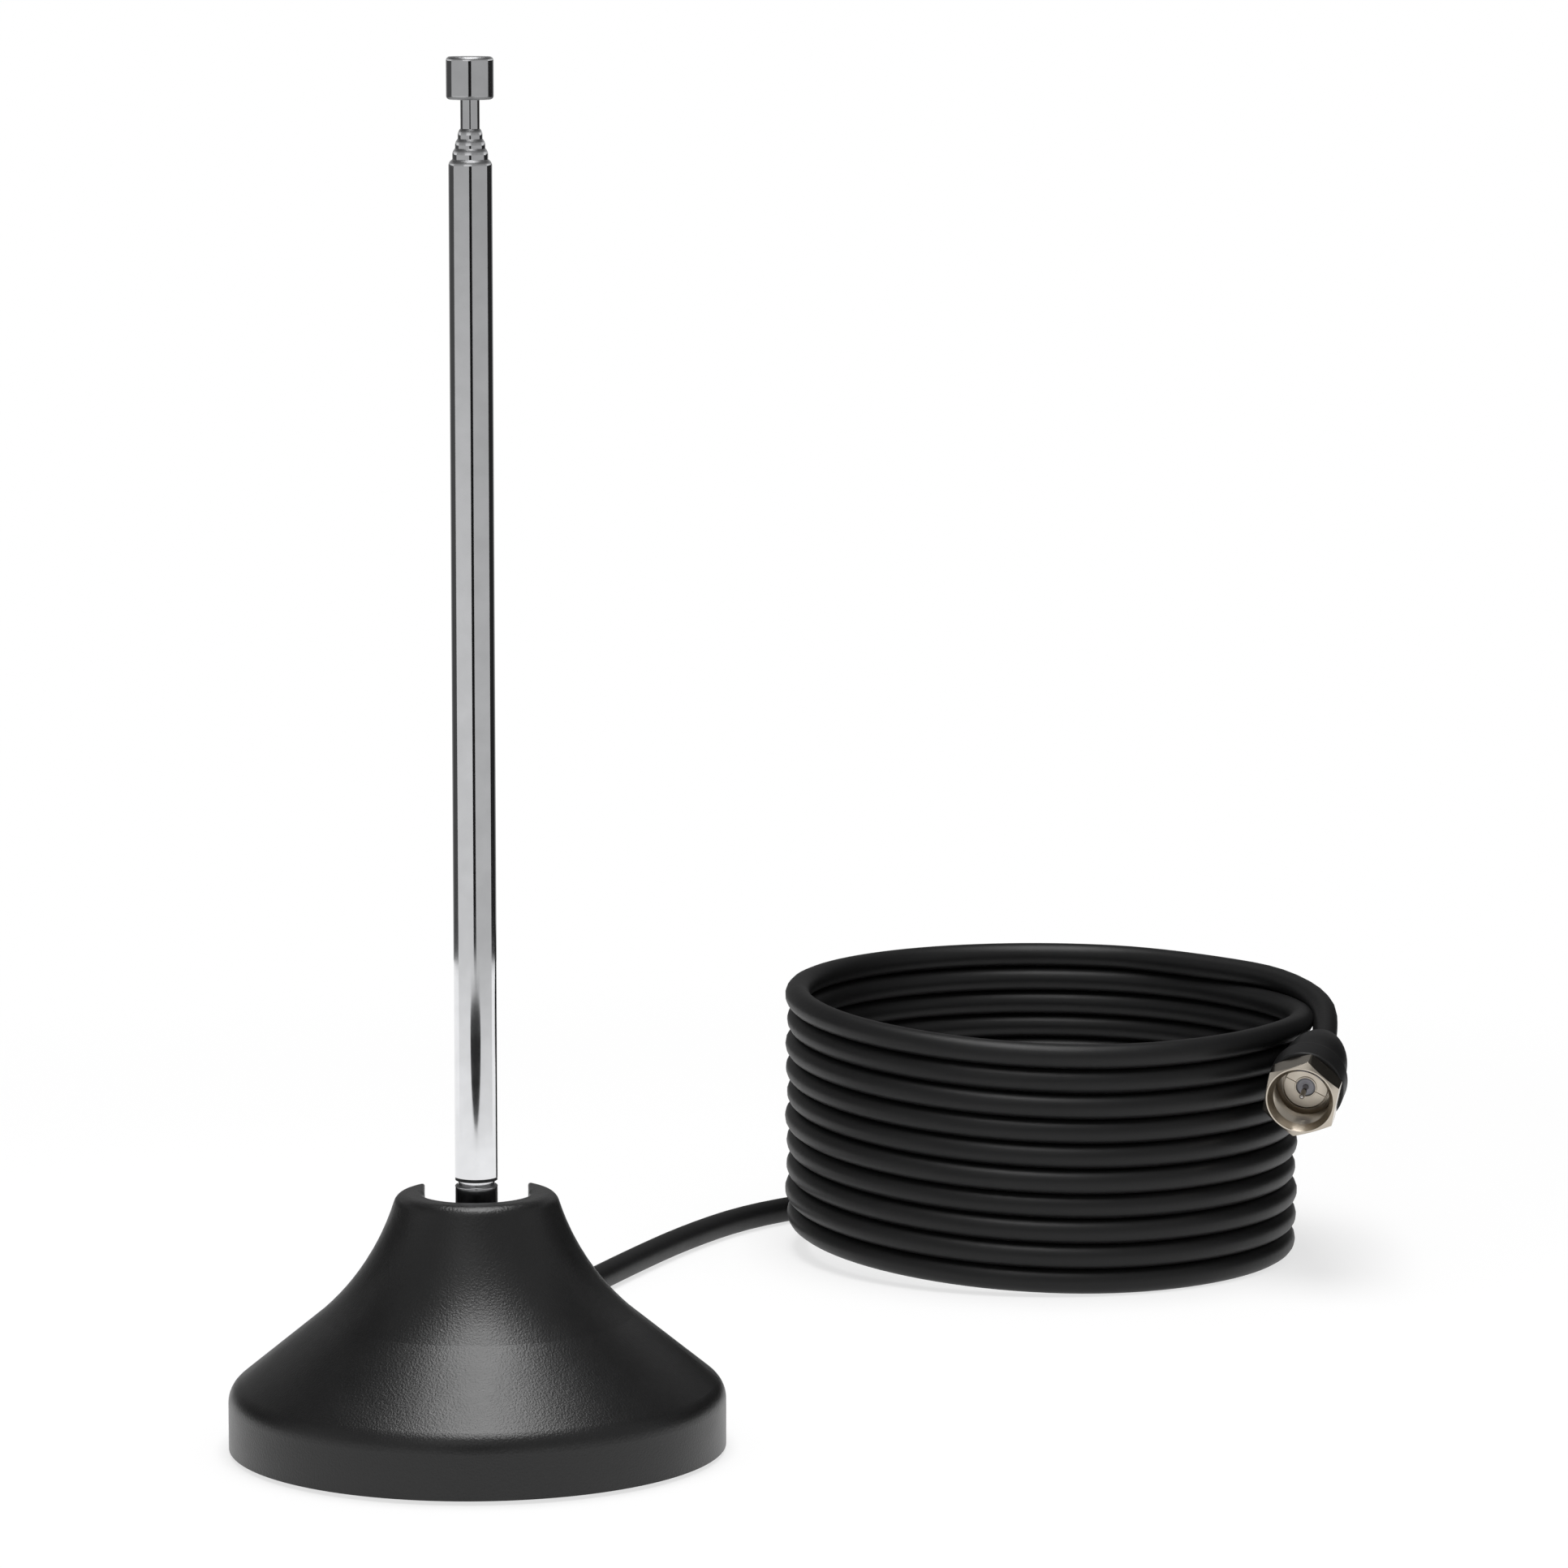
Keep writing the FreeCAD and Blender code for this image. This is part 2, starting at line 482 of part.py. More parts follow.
def make_hinge():
    """Sheet yoke in the collar, with the pivot screw, its nut, two friction washers and the screw below."""
    yoke = new_body("hinge_yoke")
    front = "-(mast_od / 2 + spin_gap + yoke_t)"
    floor = new_sketch(yoke, "yoke_floor_outline", "XY_Plane", "well_floor_z")
    draw_outline(floor, [
        (f"-{EAR_OUT}", front), (EAR_OUT, front), (EAR_OUT, "yoke_reach"), (f"-{EAR_OUT}", "yoke_reach"),
    ])
    draw_circle(floor, "0", "0", "yoke_screw_r + seat_gap")
    extrude(yoke, "yoke_floor", floor, "yoke_t")
    walls = new_sketch(yoke, "yoke_walls_outline", "XY_Plane", "well_floor_z")
    inside = f"{front} + yoke_t"
    draw_outline(walls, [
        (f"-{EAR_OUT}", front), (EAR_OUT, front), (EAR_OUT, "yoke_reach"), (EAR_IN, "yoke_reach"),
        (EAR_IN, inside), (f"-{EAR_IN}", inside), (f"-{EAR_IN}", "yoke_reach"), (f"-{EAR_OUT}", "yoke_reach"),
    ])
    extrude(yoke, "yoke_walls", walls, "pivot_z + yoke_reach - well_floor_z")
    bore = new_sketch(yoke, "yoke_bore_ring", "YZ_Plane", "2 * well_r")
    draw_circle(bore, "0", "pivot_z", "pivot_r + seat_gap")
    extrude(yoke, "yoke_bore", bore, "4 * well_r", "Pocket")
    top = value("pivot_z + yoke_reach")
    back = value("yoke_reach")
    round_edges(yoke, "ear_rounding", "yoke_reach - 2 * seat_gap", lambda e: all(
        abs(v.Point.z - top) < 1e-4 and abs(v.Point.y - back) < 1e-4 for v in e.Vertexes))

    screw = turned("pivot_screw", [
        ("0", "0"), ("pivot_head_r", "0"), ("pivot_head_r", "pivot_head_t"), ("pivot_r", "pivot_head_t"),
        ("pivot_r", f"pivot_head_t + 2 * {EAR_OUT} + 2 * washer_t + pivot_nut_t"),
        ("0", f"pivot_head_t + 2 * {EAR_OUT} + 2 * washer_t + pivot_nut_t"),
    ])
    nut = new_body("pivot_nut")
    ring = new_sketch(nut, "pivot_nut_outline", "XY_Plane")
    corners = [(f"pivot_nut_af / 2 / cos(30) * cos({a})", f"pivot_nut_af / 2 / cos(30) * sin({a})")
               for a in range(30, 390, 60)]
    draw_outline(ring, corners)
    draw_circle(ring, "0", "0", "pivot_r + seat_gap")
    extrude(nut, "pivot_nut_block", ring, "pivot_nut_t")
    cups = []
    for side, start in (("left", f"-{EAR_OUT} - washer_t"), ("right", EAR_OUT)):
        cup = turned(f"friction_washer_{side}", [
            ("pivot_r + seat_gap", "0"), ("pivot_head_r", "0"),
            ("pivot_head_r", "washer_t"), ("pivot_r + seat_gap", "washer_t"),
        ])
        cups.append((cup, start))
    across = FreeCAD.Rotation(FreeCAD.Vector(0, 1, 0), 90)
    on_pivot = [(screw, f"-{EAR_OUT} - washer_t - pivot_head_t"), (nut, f"{EAR_OUT} + washer_t")]
    for piece, start in cups + on_pivot:
        piece.Placement.Rotation = across
        place(piece, x=start, z="pivot_z")

    turned("yoke_screw", [
        ("0", f"{WELL_UNDER} - lug_t - yoke_head_t"), ("yoke_head_r", f"{WELL_UNDER} - lug_t - yoke_head_t"),
        ("yoke_head_r", f"{WELL_UNDER} - lug_t"), ("yoke_screw_r", f"{WELL_UNDER} - lug_t"),
        ("yoke_screw_r", "well_floor_z + yoke_t"), ("0", "well_floor_z + yoke_t"),
    ])
    lug = new_body("terminal_lug")
    tab = new_sketch(lug, "lug_outline", "XY_Plane", f"{WELL_UNDER} - lug_t")
    draw_outline(tab, [
        ("-yoke_head_r", "-yoke_head_r"), ("yoke_head_r", "-yoke_head_r"),
        ("yoke_head_r", f"{WELL_OUT_R}"), ("-yoke_head_r", f"{WELL_OUT_R}"),
    ])
    draw_circle(tab, "0", "0", "yoke_screw_r + seat_gap")
    extrude(lug, "lug_sheet", tab, "lug_t")


def make_knuckle():
    """Turned knuckle: a tongue on the pivot, a round shoulder in the collar, a spigot in the outer tube."""
    body = new_body("knuckle")
    tube_bore = "(mast_od / 2 - mast_wall)"
    revolve(body, "knuckle_turning", [
        ("0", "pivot_z - mast_od / 2"),
        ("mast_od / 2", "pivot_z - mast_od / 2"),
        ("mast_od / 2", f"{KNUCKLE_TOP} - neck_round", "neck_round"),
        ("mast_od / 2 - neck_round", KNUCKLE_TOP),
        (f"{tube_bore} - seat_gap", KNUCKLE_TOP),
        (f"{tube_bore} - seat_gap", SPIGOT_TOP),
        ("0", SPIGOT_TOP),
    ])
    under, over = "pivot_z - mast_od", "pivot_z + tongue_top"
    cheeks = new_sketch(body, "cheek_outlines", "XZ_Plane", "mast_od")
    for side in ("", "-"):
        draw_outline(cheeks, [
            (f"{side}tongue_t / 2", under), (f"{side}mast_od", under),
            (f"{side}mast_od", over), (f"{side}tongue_t / 2", over),
        ])
    extrude(body, "cheeks", cheeks, "2 * mast_od", "Pocket")
    ending = new_sketch(body, "tongue_end_outline", "YZ_Plane", "mast_od")
    draw_outline(ending, [
        ("-mast_od", under), ("mast_od", under), ("mast_od", "pivot_z"),
        ("mast_od / 2", "pivot_z", "-mast_od / 2"), ("0", "pivot_z - mast_od / 2", "-mast_od / 2"),
        ("-mast_od / 2", "pivot_z"), ("-mast_od", "pivot_z"),
    ])
    extrude(body, "tongue_end", ending, "2 * mast_od", "Pocket")
    bore = new_sketch(body, "tongue_bore_ring", "YZ_Plane", "mast_od")
    draw_circle(bore, "0", "pivot_z", "pivot_r + seat_gap")
    extrude(body, "tongue_bore", bore, "2 * mast_od", "Pocket")


def make_mast():
    """Outer tube, three inner tubes on brass feet, and the end rod with its knob."""
    outer_r, wall = "(mast_od / 2)", "mast_wall"
    low, high = "mast_foot_z", "(mast_foot_z + mast_len)"
    plug_top = SPIGOT_TOP
    for number in range(1, 5):
        bore_r = f"({outer_r} - {wall})"
        next_r = f"({bore_r} - slide_gap)"
        closing = f"({wall} + slide_gap - mouth_gap)"
        roll_r = f"({closing} * {closing} + mouth_roll * mouth_roll) / (2 * {closing})"
        lower_edge = [(outer_r, low)]
        if number == 1:
            lower_edge = [(f"{outer_r} - neck_round", low, "neck_round"), (outer_r, f"{low} + neck_round")]
        turned(f"mast_tube_{number}", [
            (bore_r, low),
            *lower_edge,
            (outer_r, f"{high} - mouth_roll", roll_r),
            (f"{outer_r} - {closing}", high),
            (f"{outer_r} - {closing}", f"{high} - {MOUTH_SEAT}"),
            (bore_r, f"{high} - {MOUTH_SEAT}"),
        ])
        foot_low = f"({plug_top} + seat_gap)"
        low = f"({foot_low} + foot_len)"
        plug_top = f"({low} + plug_len)"
        core_r = f"({next_r} - inner_wall - seat_gap)"
        if number == 4:
            turned("rod_foot", [
                ("0", foot_low), (f"{bore_r} - foot_gap", foot_low),
                (f"{bore_r} - foot_gap", low), ("0", low),
            ])
            break
        turned(f"tube_foot_{number + 1}", [
            ("0", foot_low), (f"{bore_r} - foot_gap", foot_low), (f"{bore_r} - foot_gap", low),
            (core_r, low), (core_r, plug_top), ("0", plug_top),
        ])
        outer_r, wall = next_r, "inner_wall"
        high = f"({high} + show_{number + 1})"
    knob_low = f"({high} + show_rod)"
    turned("tip_rod", [("0", low), (next_r, low), (next_r, knob_low), ("0", knob_low)])
    turned("tip_knob", [
        ("0", knob_low),
        ("knob_r - knob_round", knob_low, "knob_round"),
        ("knob_r", f"{knob_low} + knob_round"),
        ("knob_r", f"{knob_low} + knob_len - knob_round", "knob_round"),
        ("knob_r - knob_round", f"{knob_low} + knob_len"),
        ("0", f"{knob_low} + knob_len"),
    ])


def make_cord():
    """Grommet, the cord's inner end with its wire, the free stretch, the coil and the connector's end."""
    bore = "(cord_d / 2 + seat_gap)"
    neck = f"({bore} + grommet_neck - seat_gap)"
    lip_face = "-(shell_wall + grommet_ease)"
    grommet = turned("cord_grommet", [
        (bore, f"{lip_face} - grommet_lip_t"),
        ("grommet_lip_r", f"{lip_face} - grommet_lip_t"),
        ("grommet_lip_r", lip_face),
        (neck, lip_face),
        (neck, "2 * seat_gap"),
        ("grommet_head_r", "2 * seat_gap"),
        ("grommet_head_r", "grommet_len / 4"),
        (f"{bore} + grommet_neck / 2", "grommet_len"),
        (bore, "grommet_len"),
    ])
    inner_end = doc.addObject("Part::Cylinder", "cord_inner_end")
    keep(inner_end, "cord_inner_end")
    inner_end.setExpression("Radius", bind("cord_d / 2"))
    inner_end.setExpression("Height", bind(f"{CORD_OUT_Y} - {CORD_END_Y}"))
    backwards = FreeCAD.Rotation(FreeCAD.Vector(1, 0, 0), -90)
    grommet.Placement.Rotation = backwards
    place(grommet, y="shell_r", z="exit_z")
    inner_end.Placement.Rotation = backwards
    place(inner_end, y=CORD_END_Y, z="exit_z")
    cord_piece("feed_wire", [vector(*point) for point in WIRE_ROUTE], value("wire_d"))

    cord_d = value("cord_d")
    cord_piece("cord_lead", [vector(*point) for point in LEAD_ROUTE], cord_d)
    half = "cord_d / 2"
    coil = turned("cord_coil", [
        (f"coil_r - {half}", half, half), ("coil_r", "0", half), (f"coil_r + {half}", half),
        (f"coil_r + {half}", f"coil_top - {half}", half), ("coil_r", "coil_top", half),
        (f"coil_r - {half}", f"coil_top - {half}"),
    ])
    place(coil, "coil_x", "coil_y")
    along_plug = [vector("0", "0", f"{BOOT_BACK} + {run}") for run in ("2.65 * cord_d", "0")]
    into_boot = [plug_placement().multVec(point) for point in along_plug]
    cord_piece("cord_tail", [vector(*point) for point in TAIL_ROUTE] + into_boot, cord_d)


def plug_placement():
    """Where the connector lies: its own +Z runs from the nut's face back along the cord."""
    turn, droop = value("plug_turn"), value("plug_droop")
    heading = FreeCAD.Rotation(FreeCAD.Vector(0, 0, 1), -turn)
    lean = FreeCAD.Rotation(FreeCAD.Vector(1, 0, 0), droop - 90)
    return FreeCAD.Placement(vector("plug_x", "plug_y", "plug_z"), heading.multiply(lean))


def make_connector():
    """F connector: a hexagonal nut that turns on a flanged body, the insulator, the pin and the boot."""
    nut = new_body("connector_nut")
    hexagon = new_sketch(nut, "nut_outline", "XY_Plane")
    draw_outline(hexagon, [
        (f"{NUT_CORNER} * cos(nut_clock + {a})", f"{NUT_CORNER} * sin(nut_clock + {a})")
        for a in range(0, 360, 60)
    ])
    extrude(nut, "nut_block", hexagon, "nut_len")
    revolve(nut, "nut_thread_bore", [
        ("0", "-seat_gap"), ("nut_bore_r + nut_bevel / 3", "-seat_gap"), ("nut_bore_r", "nut_bevel / 2"),
        ("nut_bore_r", "nut_len - nut_lip"), ("throat_r + spin_gap", "nut_len - nut_lip"),
        ("throat_r + spin_gap", "nut_len + seat_gap"), ("0", "nut_len + seat_gap"),
    ], "Groove")
    outside, bevel_r = f"{NUT_CORNER} + nut_bevel", "nut_af / 2 - nut_bevel / 4"
    revolve(nut, "nut_front_bevel", [
        (bevel_r, "-seat_gap"), (outside, "-seat_gap"), (outside, "nut_bevel"),
    ], "Groove")
    revolve(nut, "nut_sleeve", [
        ("nut_sleeve_r", "nut_hex"), (bevel_r, "nut_hex"), (outside, "nut_hex - nut_bevel"),
        (outside, "nut_len + seat_gap"), ("nut_sleeve_r", "nut_len + seat_gap"),
    ], "Groove")
    shells = [nut]
    shells.append(turned("connector_body", [
        ("core_r + seat_gap", FLANGE_FRONT), ("flange_r", FLANGE_FRONT), ("flange_r", FLANGE_BACK),
        ("throat_r", FLANGE_BACK), ("throat_r", BODY_STEP), ("ferrule_r", BODY_STEP),
        ("ferrule_r", f"{BODY_STEP} + ferrule_len"), ("core_r + seat_gap", f"{BODY_STEP} + ferrule_len"),
    ]))
    shells.append(turned("connector_insulator", [
        ("pin_r + seat_gap / 2", f"{FLANGE_FRONT} - seat_gap"), ("core_r", f"{FLANGE_FRONT} - seat_gap"),
        ("core_r", f"{BODY_STEP} + ferrule_len"), ("pin_r + seat_gap / 2", f"{BODY_STEP} + ferrule_len"),
    ]))
    shells.append(turned("connector_pin", [
        ("0", "pin_inset"), ("pin_r / 2", "pin_inset"), ("pin_r", "pin_inset + pin_r"),
        ("pin_r", f"{BODY_STEP} + ferrule_len"), ("0", f"{BODY_STEP} + ferrule_len"),
    ]))
    shells.append(turned("connector_boot", [
        (SKIRT_IN, BODY_STEP), (SKIRT_IN, "nut_hex + 3 * spin_gap"), ("boot_skirt_r", "nut_hex + 3 * spin_gap"),
        ("boot_skirt_r", f"{BODY_STEP} + ferrule_len / 5"), ("boot_r", f"{BODY_STEP} + ferrule_len / 2"),
        ("boot_r", f"{BODY_STEP} + ferrule_len", "boot_len * 1.4"),
        ("boot_end_r", BOOT_BACK), ("0", BOOT_BACK),
        ("0", f"{BODY_STEP} + ferrule_len + seat_gap"),
        ("ferrule_r + seat_gap", f"{BODY_STEP} + ferrule_len + seat_gap"),
        ("ferrule_r + seat_gap", BODY_STEP),
    ]))
    for piece in shells:
        piece.Placement = plug_placement()


def check_document():
    """Stops if any object failed, any cut removed nothing, or any piece has no valid solid."""
    for thing in doc.Objects:
        if "Invalid" in thing.State or "Error" in thing.State:
            raise RuntimeError(f"{thing.Name} failed: {thing.State}")
        if thing.TypeId in ("PartDesign::Pocket", "PartDesign::Groove"):
            if thing.Shape.Volume > thing.BaseFeature.Shape.Volume - 1e-3:
                raise RuntimeError(f"{thing.Name} cut nothing")
    for piece in nodes:
        if piece.Shape.isNull() or not piece.Shape.isValid() or not piece.Shape.Solids:
            raise RuntimeError(f"{piece.Label} has no valid solid")


make_base_shell()
make_bottom()
make_hinge()
make_knuckle()
make_mast()
make_cord()
make_connector()
doc.recompute()
check_document()

os.makedirs("parts", exist_ok=True)
for piece in nodes:
    piece.Shape.exportStep(f"parts/{piece.Label}.step")
    print(piece.Label, len(piece.Shape.Solids), round(piece.Shape.Volume, 1))
print("pieces", len(nodes))
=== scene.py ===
"""Finishes and small parts of the indoor television aerial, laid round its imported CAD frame."""
import math

import bmesh
import bpy
from bpy.props import FloatProperty, FloatVectorProperty, IntProperty, PointerProperty
from bpy.types import Operator, Panel, PropertyGroup
from mathutils import Matrix, Vector


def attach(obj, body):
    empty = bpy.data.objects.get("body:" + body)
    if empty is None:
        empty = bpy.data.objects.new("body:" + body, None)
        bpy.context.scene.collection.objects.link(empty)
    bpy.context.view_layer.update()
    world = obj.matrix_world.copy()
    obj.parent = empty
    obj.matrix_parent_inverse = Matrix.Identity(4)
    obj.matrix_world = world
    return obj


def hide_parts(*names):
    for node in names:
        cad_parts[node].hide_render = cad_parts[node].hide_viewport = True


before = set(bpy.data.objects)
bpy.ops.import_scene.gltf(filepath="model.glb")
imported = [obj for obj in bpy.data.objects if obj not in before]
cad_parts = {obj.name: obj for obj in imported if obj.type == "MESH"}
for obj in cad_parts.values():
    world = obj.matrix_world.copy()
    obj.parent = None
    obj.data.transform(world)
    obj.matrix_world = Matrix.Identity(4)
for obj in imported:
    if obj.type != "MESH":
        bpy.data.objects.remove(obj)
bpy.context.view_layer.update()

bl_info = {
    "name": "Indoor aerial",
    "version": (1, 0, 0),
    "blender": (4, 5, 0),
    "location": "3D View > Sidebar > Aerial",
    "description": "Dresses a telescopic indoor television aerial with its cord, connector and studio",
    "category": "Object",
}

MM = 0.001

# Shapes: steps round a turned piece, along an arc and along a taper, and the flats of a hexagon.
TURN_STEPS = 72
ARC_STEPS = 6
TAPER_STEPS = 10
FLATS = 6
# In millimetres: points this near are one, points this near a cut lie on it, and edges are eased by
# this much. Edges that turn by more than the angle count as sharp.
WELD = 0.0001
CUT_NEAR = 0.00001
EASE = 0.05
EASE_STEPS = 2
SHARP_ANGLE = math.radians(30)

# The cord's route in millimetres: the free stretch from the grommet to the coil, and the end at the
# boot. Its curve's order, its steps from point to point, and its steps in a quarter of its section.
LEAD_ROUTE = [
    (0.0, 45.0, 6.6), (0.3, 53.0, 6.6), (3.0, 66.0, 3.6), (8.0, 82.0, 2.0), (16.0, 100.0, 2.0),
    (24.5, 119.5, 2.0), (33.5, 138.5, 2.0), (44.0, 155.5, 2.0), (57.0, 166.5, 2.0),
]
TAIL_ROUTE = [
    (122.4, 163.0, 41.5), (131.9, 152.5, 41.2), (137.1, 140.5, 39.2), (136.2, 130.5, 36.5),
    (134.96, 124.19, 35.1),
]
CORD_ORDER = 3
CORD_STEPS = 4
CORD_ROUNDING = 6

# The coil: its middle, where it starts and ends in degrees round from +X, its points in a turn, and
# between how many degrees into each turn it climbs to the next.
COIL_CENTRE = (91.2, 139.0)
COIL_FROM = 120.0
COIL_TO = 60.0
COIL_STEPS = 24
CLIMB_FROM = 187.0
CLIMB_TO = 320.0
# The turns draw in by up to this much, in a wave that goes round by this share of a turn in each.
COIL_UNEVEN = 0.35
COIL_WAVE = 0.37
# The upper turns swell out under the tail: the last one by how much, round which angle and over how
# many degrees, and how many turns share in it.
SWELL = (3.0, -4.0, 22.0, 4)

# The connector's mouth and lie, and its turned outlines as radius and distance back from the mouth.
# Grooves, here and in the pivot screw, are angle, width, depth and the height that the grooved face
# lies below.
PLUG_MOUTH = (128.6, 102.0, 30.2)
PLUG_TURN = 16.0
PLUG_DROOP = 12.0
NUT_CLOCK = 42.0
NUT_FACE_R = 5.4
NUT_MOUTH_R = 5.2
NUT_CREST_R = 4.42
NUT_ROOT_R = 4.85
NUT_BEVEL = 0.6
NUT_HEX = 4.6
NUT_SLEEVE_R = 5.2
NUT_BORE = 7.1
NUT_THROAT_R = 2.8
NUT_POCKET_R = 3.75
NUT_SEAT = 6.0
NUT_EASE = 0.07
PLUG_BACK = 13.6
PLUG_BODY = [
    (1.55, 5.65), (1.7, 5.65), (1.75, 5.7), (1.75, 5.8), (3.42, 5.8), (3.5, 5.88), (3.5, 7.0),
    (2.7, 7.0), (2.7, 8.6), (4.3, 8.6), (4.3, PLUG_BACK), (1.55, PLUG_BACK),
]
PLUG_SPLIT = (27.0, 0.13, 0.25, 5.85)
INSULATOR = [(0.45, 5.75), (1.25, 5.75), (1.5, 6.0), (1.5, PLUG_BACK), (0.45, PLUG_BACK)]
PIN_R = 0.42
PIN_TIP = 1.4

# The boot: a skirt round the nut's sleeve, a slimmer barrel, then a taper to the cord.
BOOT_FRONT = [
    (0.0, 13.65), (4.35, 13.65), (4.35, 8.6), (5.4, 8.6), (5.4, 4.9), (5.9, 4.9), (6.1, 5.1),
]
BOOT_SKIRT = (6.1, 9.3)
BOOT_BARREL = (5.2, 11.3)
BOOT_SLEEVE = (5.2, 13.4)
BOOT_TIP = (2.9, 23.2)
BOOT_END = [(2.6, 23.6), (0.0, 23.6)]
BOOT_EASE = 0.12

# The grommet in the foot's back wall: inside lip and neck, then a cone outside with cuts, each
# given by where it starts, and all by their depth, the slope of their sides and their width.
GROMMET_PLACE = (0.0, 35.0, 6.6)
GROMMET_INSIDE = [
    (2.05, -6.3), (2.95, -6.3), (2.95, -5.1), (2.7, -5.1),
    (2.7, 0.1), (3.3, 0.1), (3.5, 0.3), (3.5, 2.0),
]
GROMMET_CUTS = (2.7, 4.1, 5.5, 6.9, 8.3)
GROMMET_CUT = (0.45, 0.15, 0.6)
GROMMET_END = [(2.4, 9.7), (2.2, 10.0), (2.05, 10.0)]

# A dark ring in the groove between the knuckle and the mast's outer tube: painted shade for the groove's
# dark line.
NECK_RING = [(2.7, 38.33), (2.96, 38.37), (2.96, 38.83), (2.7, 38.87)]
NECK_EASE = 0.04

# The pivot: screw with a domed, slotted head on the left, its nut on the right.
PIVOT_HEIGHT = 31.5
SCREW_START = -4.8
SCREW_HEAD_R = 2.2
SCREW_DOME = 0.75
SCREW_SHANK = [(SCREW_HEAD_R, 1.4), (1.2, 1.4), (1.2, 9.75), (0.95, 10.0), (0.0, 10.0)]
SCREW_SLOT = (20.0, 0.6, 0.7, 0.76)
PIVOT_NUT_START = 3.4
PIVOT_NUT = [(1.25, 0.0), (2.45, 0.0), (2.89, 0.25), (2.89, 1.55), (2.45, 1.8), (1.25, 1.8)]
PIVOT_NUT_AF = 5.0
PIVOT_NUT_CLOCK = 30.0

# Noise: its detail in gloss and mouldings' tone, in fine grain, and in plating's tone, and the part
# of its range over which one colour turns into another.
PLAIN_DETAIL = 3.0
FINE_DETAIL = 2.0
TONE_DETAIL = 4.0
TINT_REACH = (0.3, 0.7)
# Mouldings: scale of the tone and its shares of the colour, scale of the gloss and its reach either
# way in roughness, the usual shine, and the height of the grain.
MOULD_TONE = 60.0
MOULD_TONES = (0.85, 1.15)
MOULD_GLOSS = 240.0
MOULD_GLOSS_REACH = 0.04
MOULD_SHINE = 0.5
GRAIN_HEIGHT = 0.0002
# Plating: the same, with the gloss as shares of the roughness, and the height of draw marks along
# Z. Rims that turn this far from upright are rougher by the first number, and dimmed to the
# second: painted shade that tones down the overhead lamp's reflection in them.
PLATE_TONE = 300.0
PLATE_TONES = (0.95, 1.04)
PLATE_GLOSS = 500.0
PLATE_GLOSSES = (0.7, 1.3)
DRAWN = (1.0, 1.0, 0.02)
MARK_HEIGHT = 0.00005
RIM_SLOPE = (0.05, 0.4)
RIM_ROUGH_AND_SHADE = (0.35, 0.3)

# Camera: lens and sensor in millimetres, where it stands, its nearest view, and how many degrees it
# looks down and to the right.
LENS = 155.1
SENSOR = 36.0
VIEW_PLACE = (0.0, -0.933, 0.217)
VIEW_FROM = 0.01
LOOK_DOWN = 7.5
LOOK_RIGHT = 2.65

# Studio: soft boxes as place, aim, size and watts.
LAMPS = (
    ("overhead_box", (0.02, 0.0, 0.95), (0.02, 0.0, 0.0), (0.46, 0.8), 8.5),
    ("left_box", (-0.9, -0.7, 0.6), (0.0, 0.05, 0.06), (0.5, 0.7), 0.6),
    ("right_box", (0.95, -0.6, 0.6), (0.05, 0.05, 0.06), (0.5, 0.7), 0.6),
)

# What mirrors see: boards on a circle and aprons on the floor inside it, as degrees round from the
# camera, the boards' lower and upper edge, and the levels at the foot and the top, or at the outer
# and inner edge. Levels change between two distances from the mast's foot.
BOARD_STEPS = 24
BOARD_RADIUS = 0.44
BOARD_REACH = (0.44, 0.472)
BOARDS = (
    ("camera_gap", -7.0, 7.0, 0.0, 0.24, 0.01, 0.01),
    ("front_strip", -35.0, 7.0, 0.24, 0.6, 0.9, 0.9),
    ("left_board", -100.0, -7.0, 0.0, 0.24, 0.68, 0.4),
    ("left_high", -100.0, -35.0, 0.24, 0.6, 0.4, 0.4),
    ("right_board", 7.0, 100.0, 0.0, 0.6, 0.52, 0.38),
    ("left_dark", -145.0, -100.0, 0.0, 0.22, 0.07, 0.07),
    ("right_dark", 100.0, 145.0, 0.0, 0.22, 0.02, 0.02),
    ("back_board", 145.0, 215.0, 0.0, 0.22, 0.25, 0.2),
)
APRON_HEIGHT = 0.001
APRON_REACH = (0.44, 0.24)
APRONS = (
    ("left_apron", -100.0, 0.0, 0.7, 0.96),
    ("right_apron", 0.0, 100.0, 0.56, 0.86),
)
PATCH_MIDDLE = (0.0, -0.315, 0.002)
PATCH_HALF = (0.16, 0.072, 1.0)
PATCH_STEPS = 48
PATCH_LEVEL = 0.02
CEILING_HEIGHT = 1.3
CEILING_RADIUS = 2.5
CEILING_STEPS = 32
CEILING_LEVEL = 0.08

# Surroundings: white as it is seen, and the fill that lights the aerial. The floor shows this share
# of plain white round the aerial, and only white from the second of two distances on.
WHITE = (1.0, 1.0, 1.0, 1.0)
WHITE_LEVEL = 1.0
FILL_LEVEL = 0.35
FLOOR_SIZE = 6.0
FLOOR_ROUGH = 0.9
FLOOR_SHINE = 0.1
FLOOR_LIFT = 0.7
FLOOR_MIDDLE = (0.05, 0.08, 0.0)
FLOOR_FADE = (0.16, 0.34)


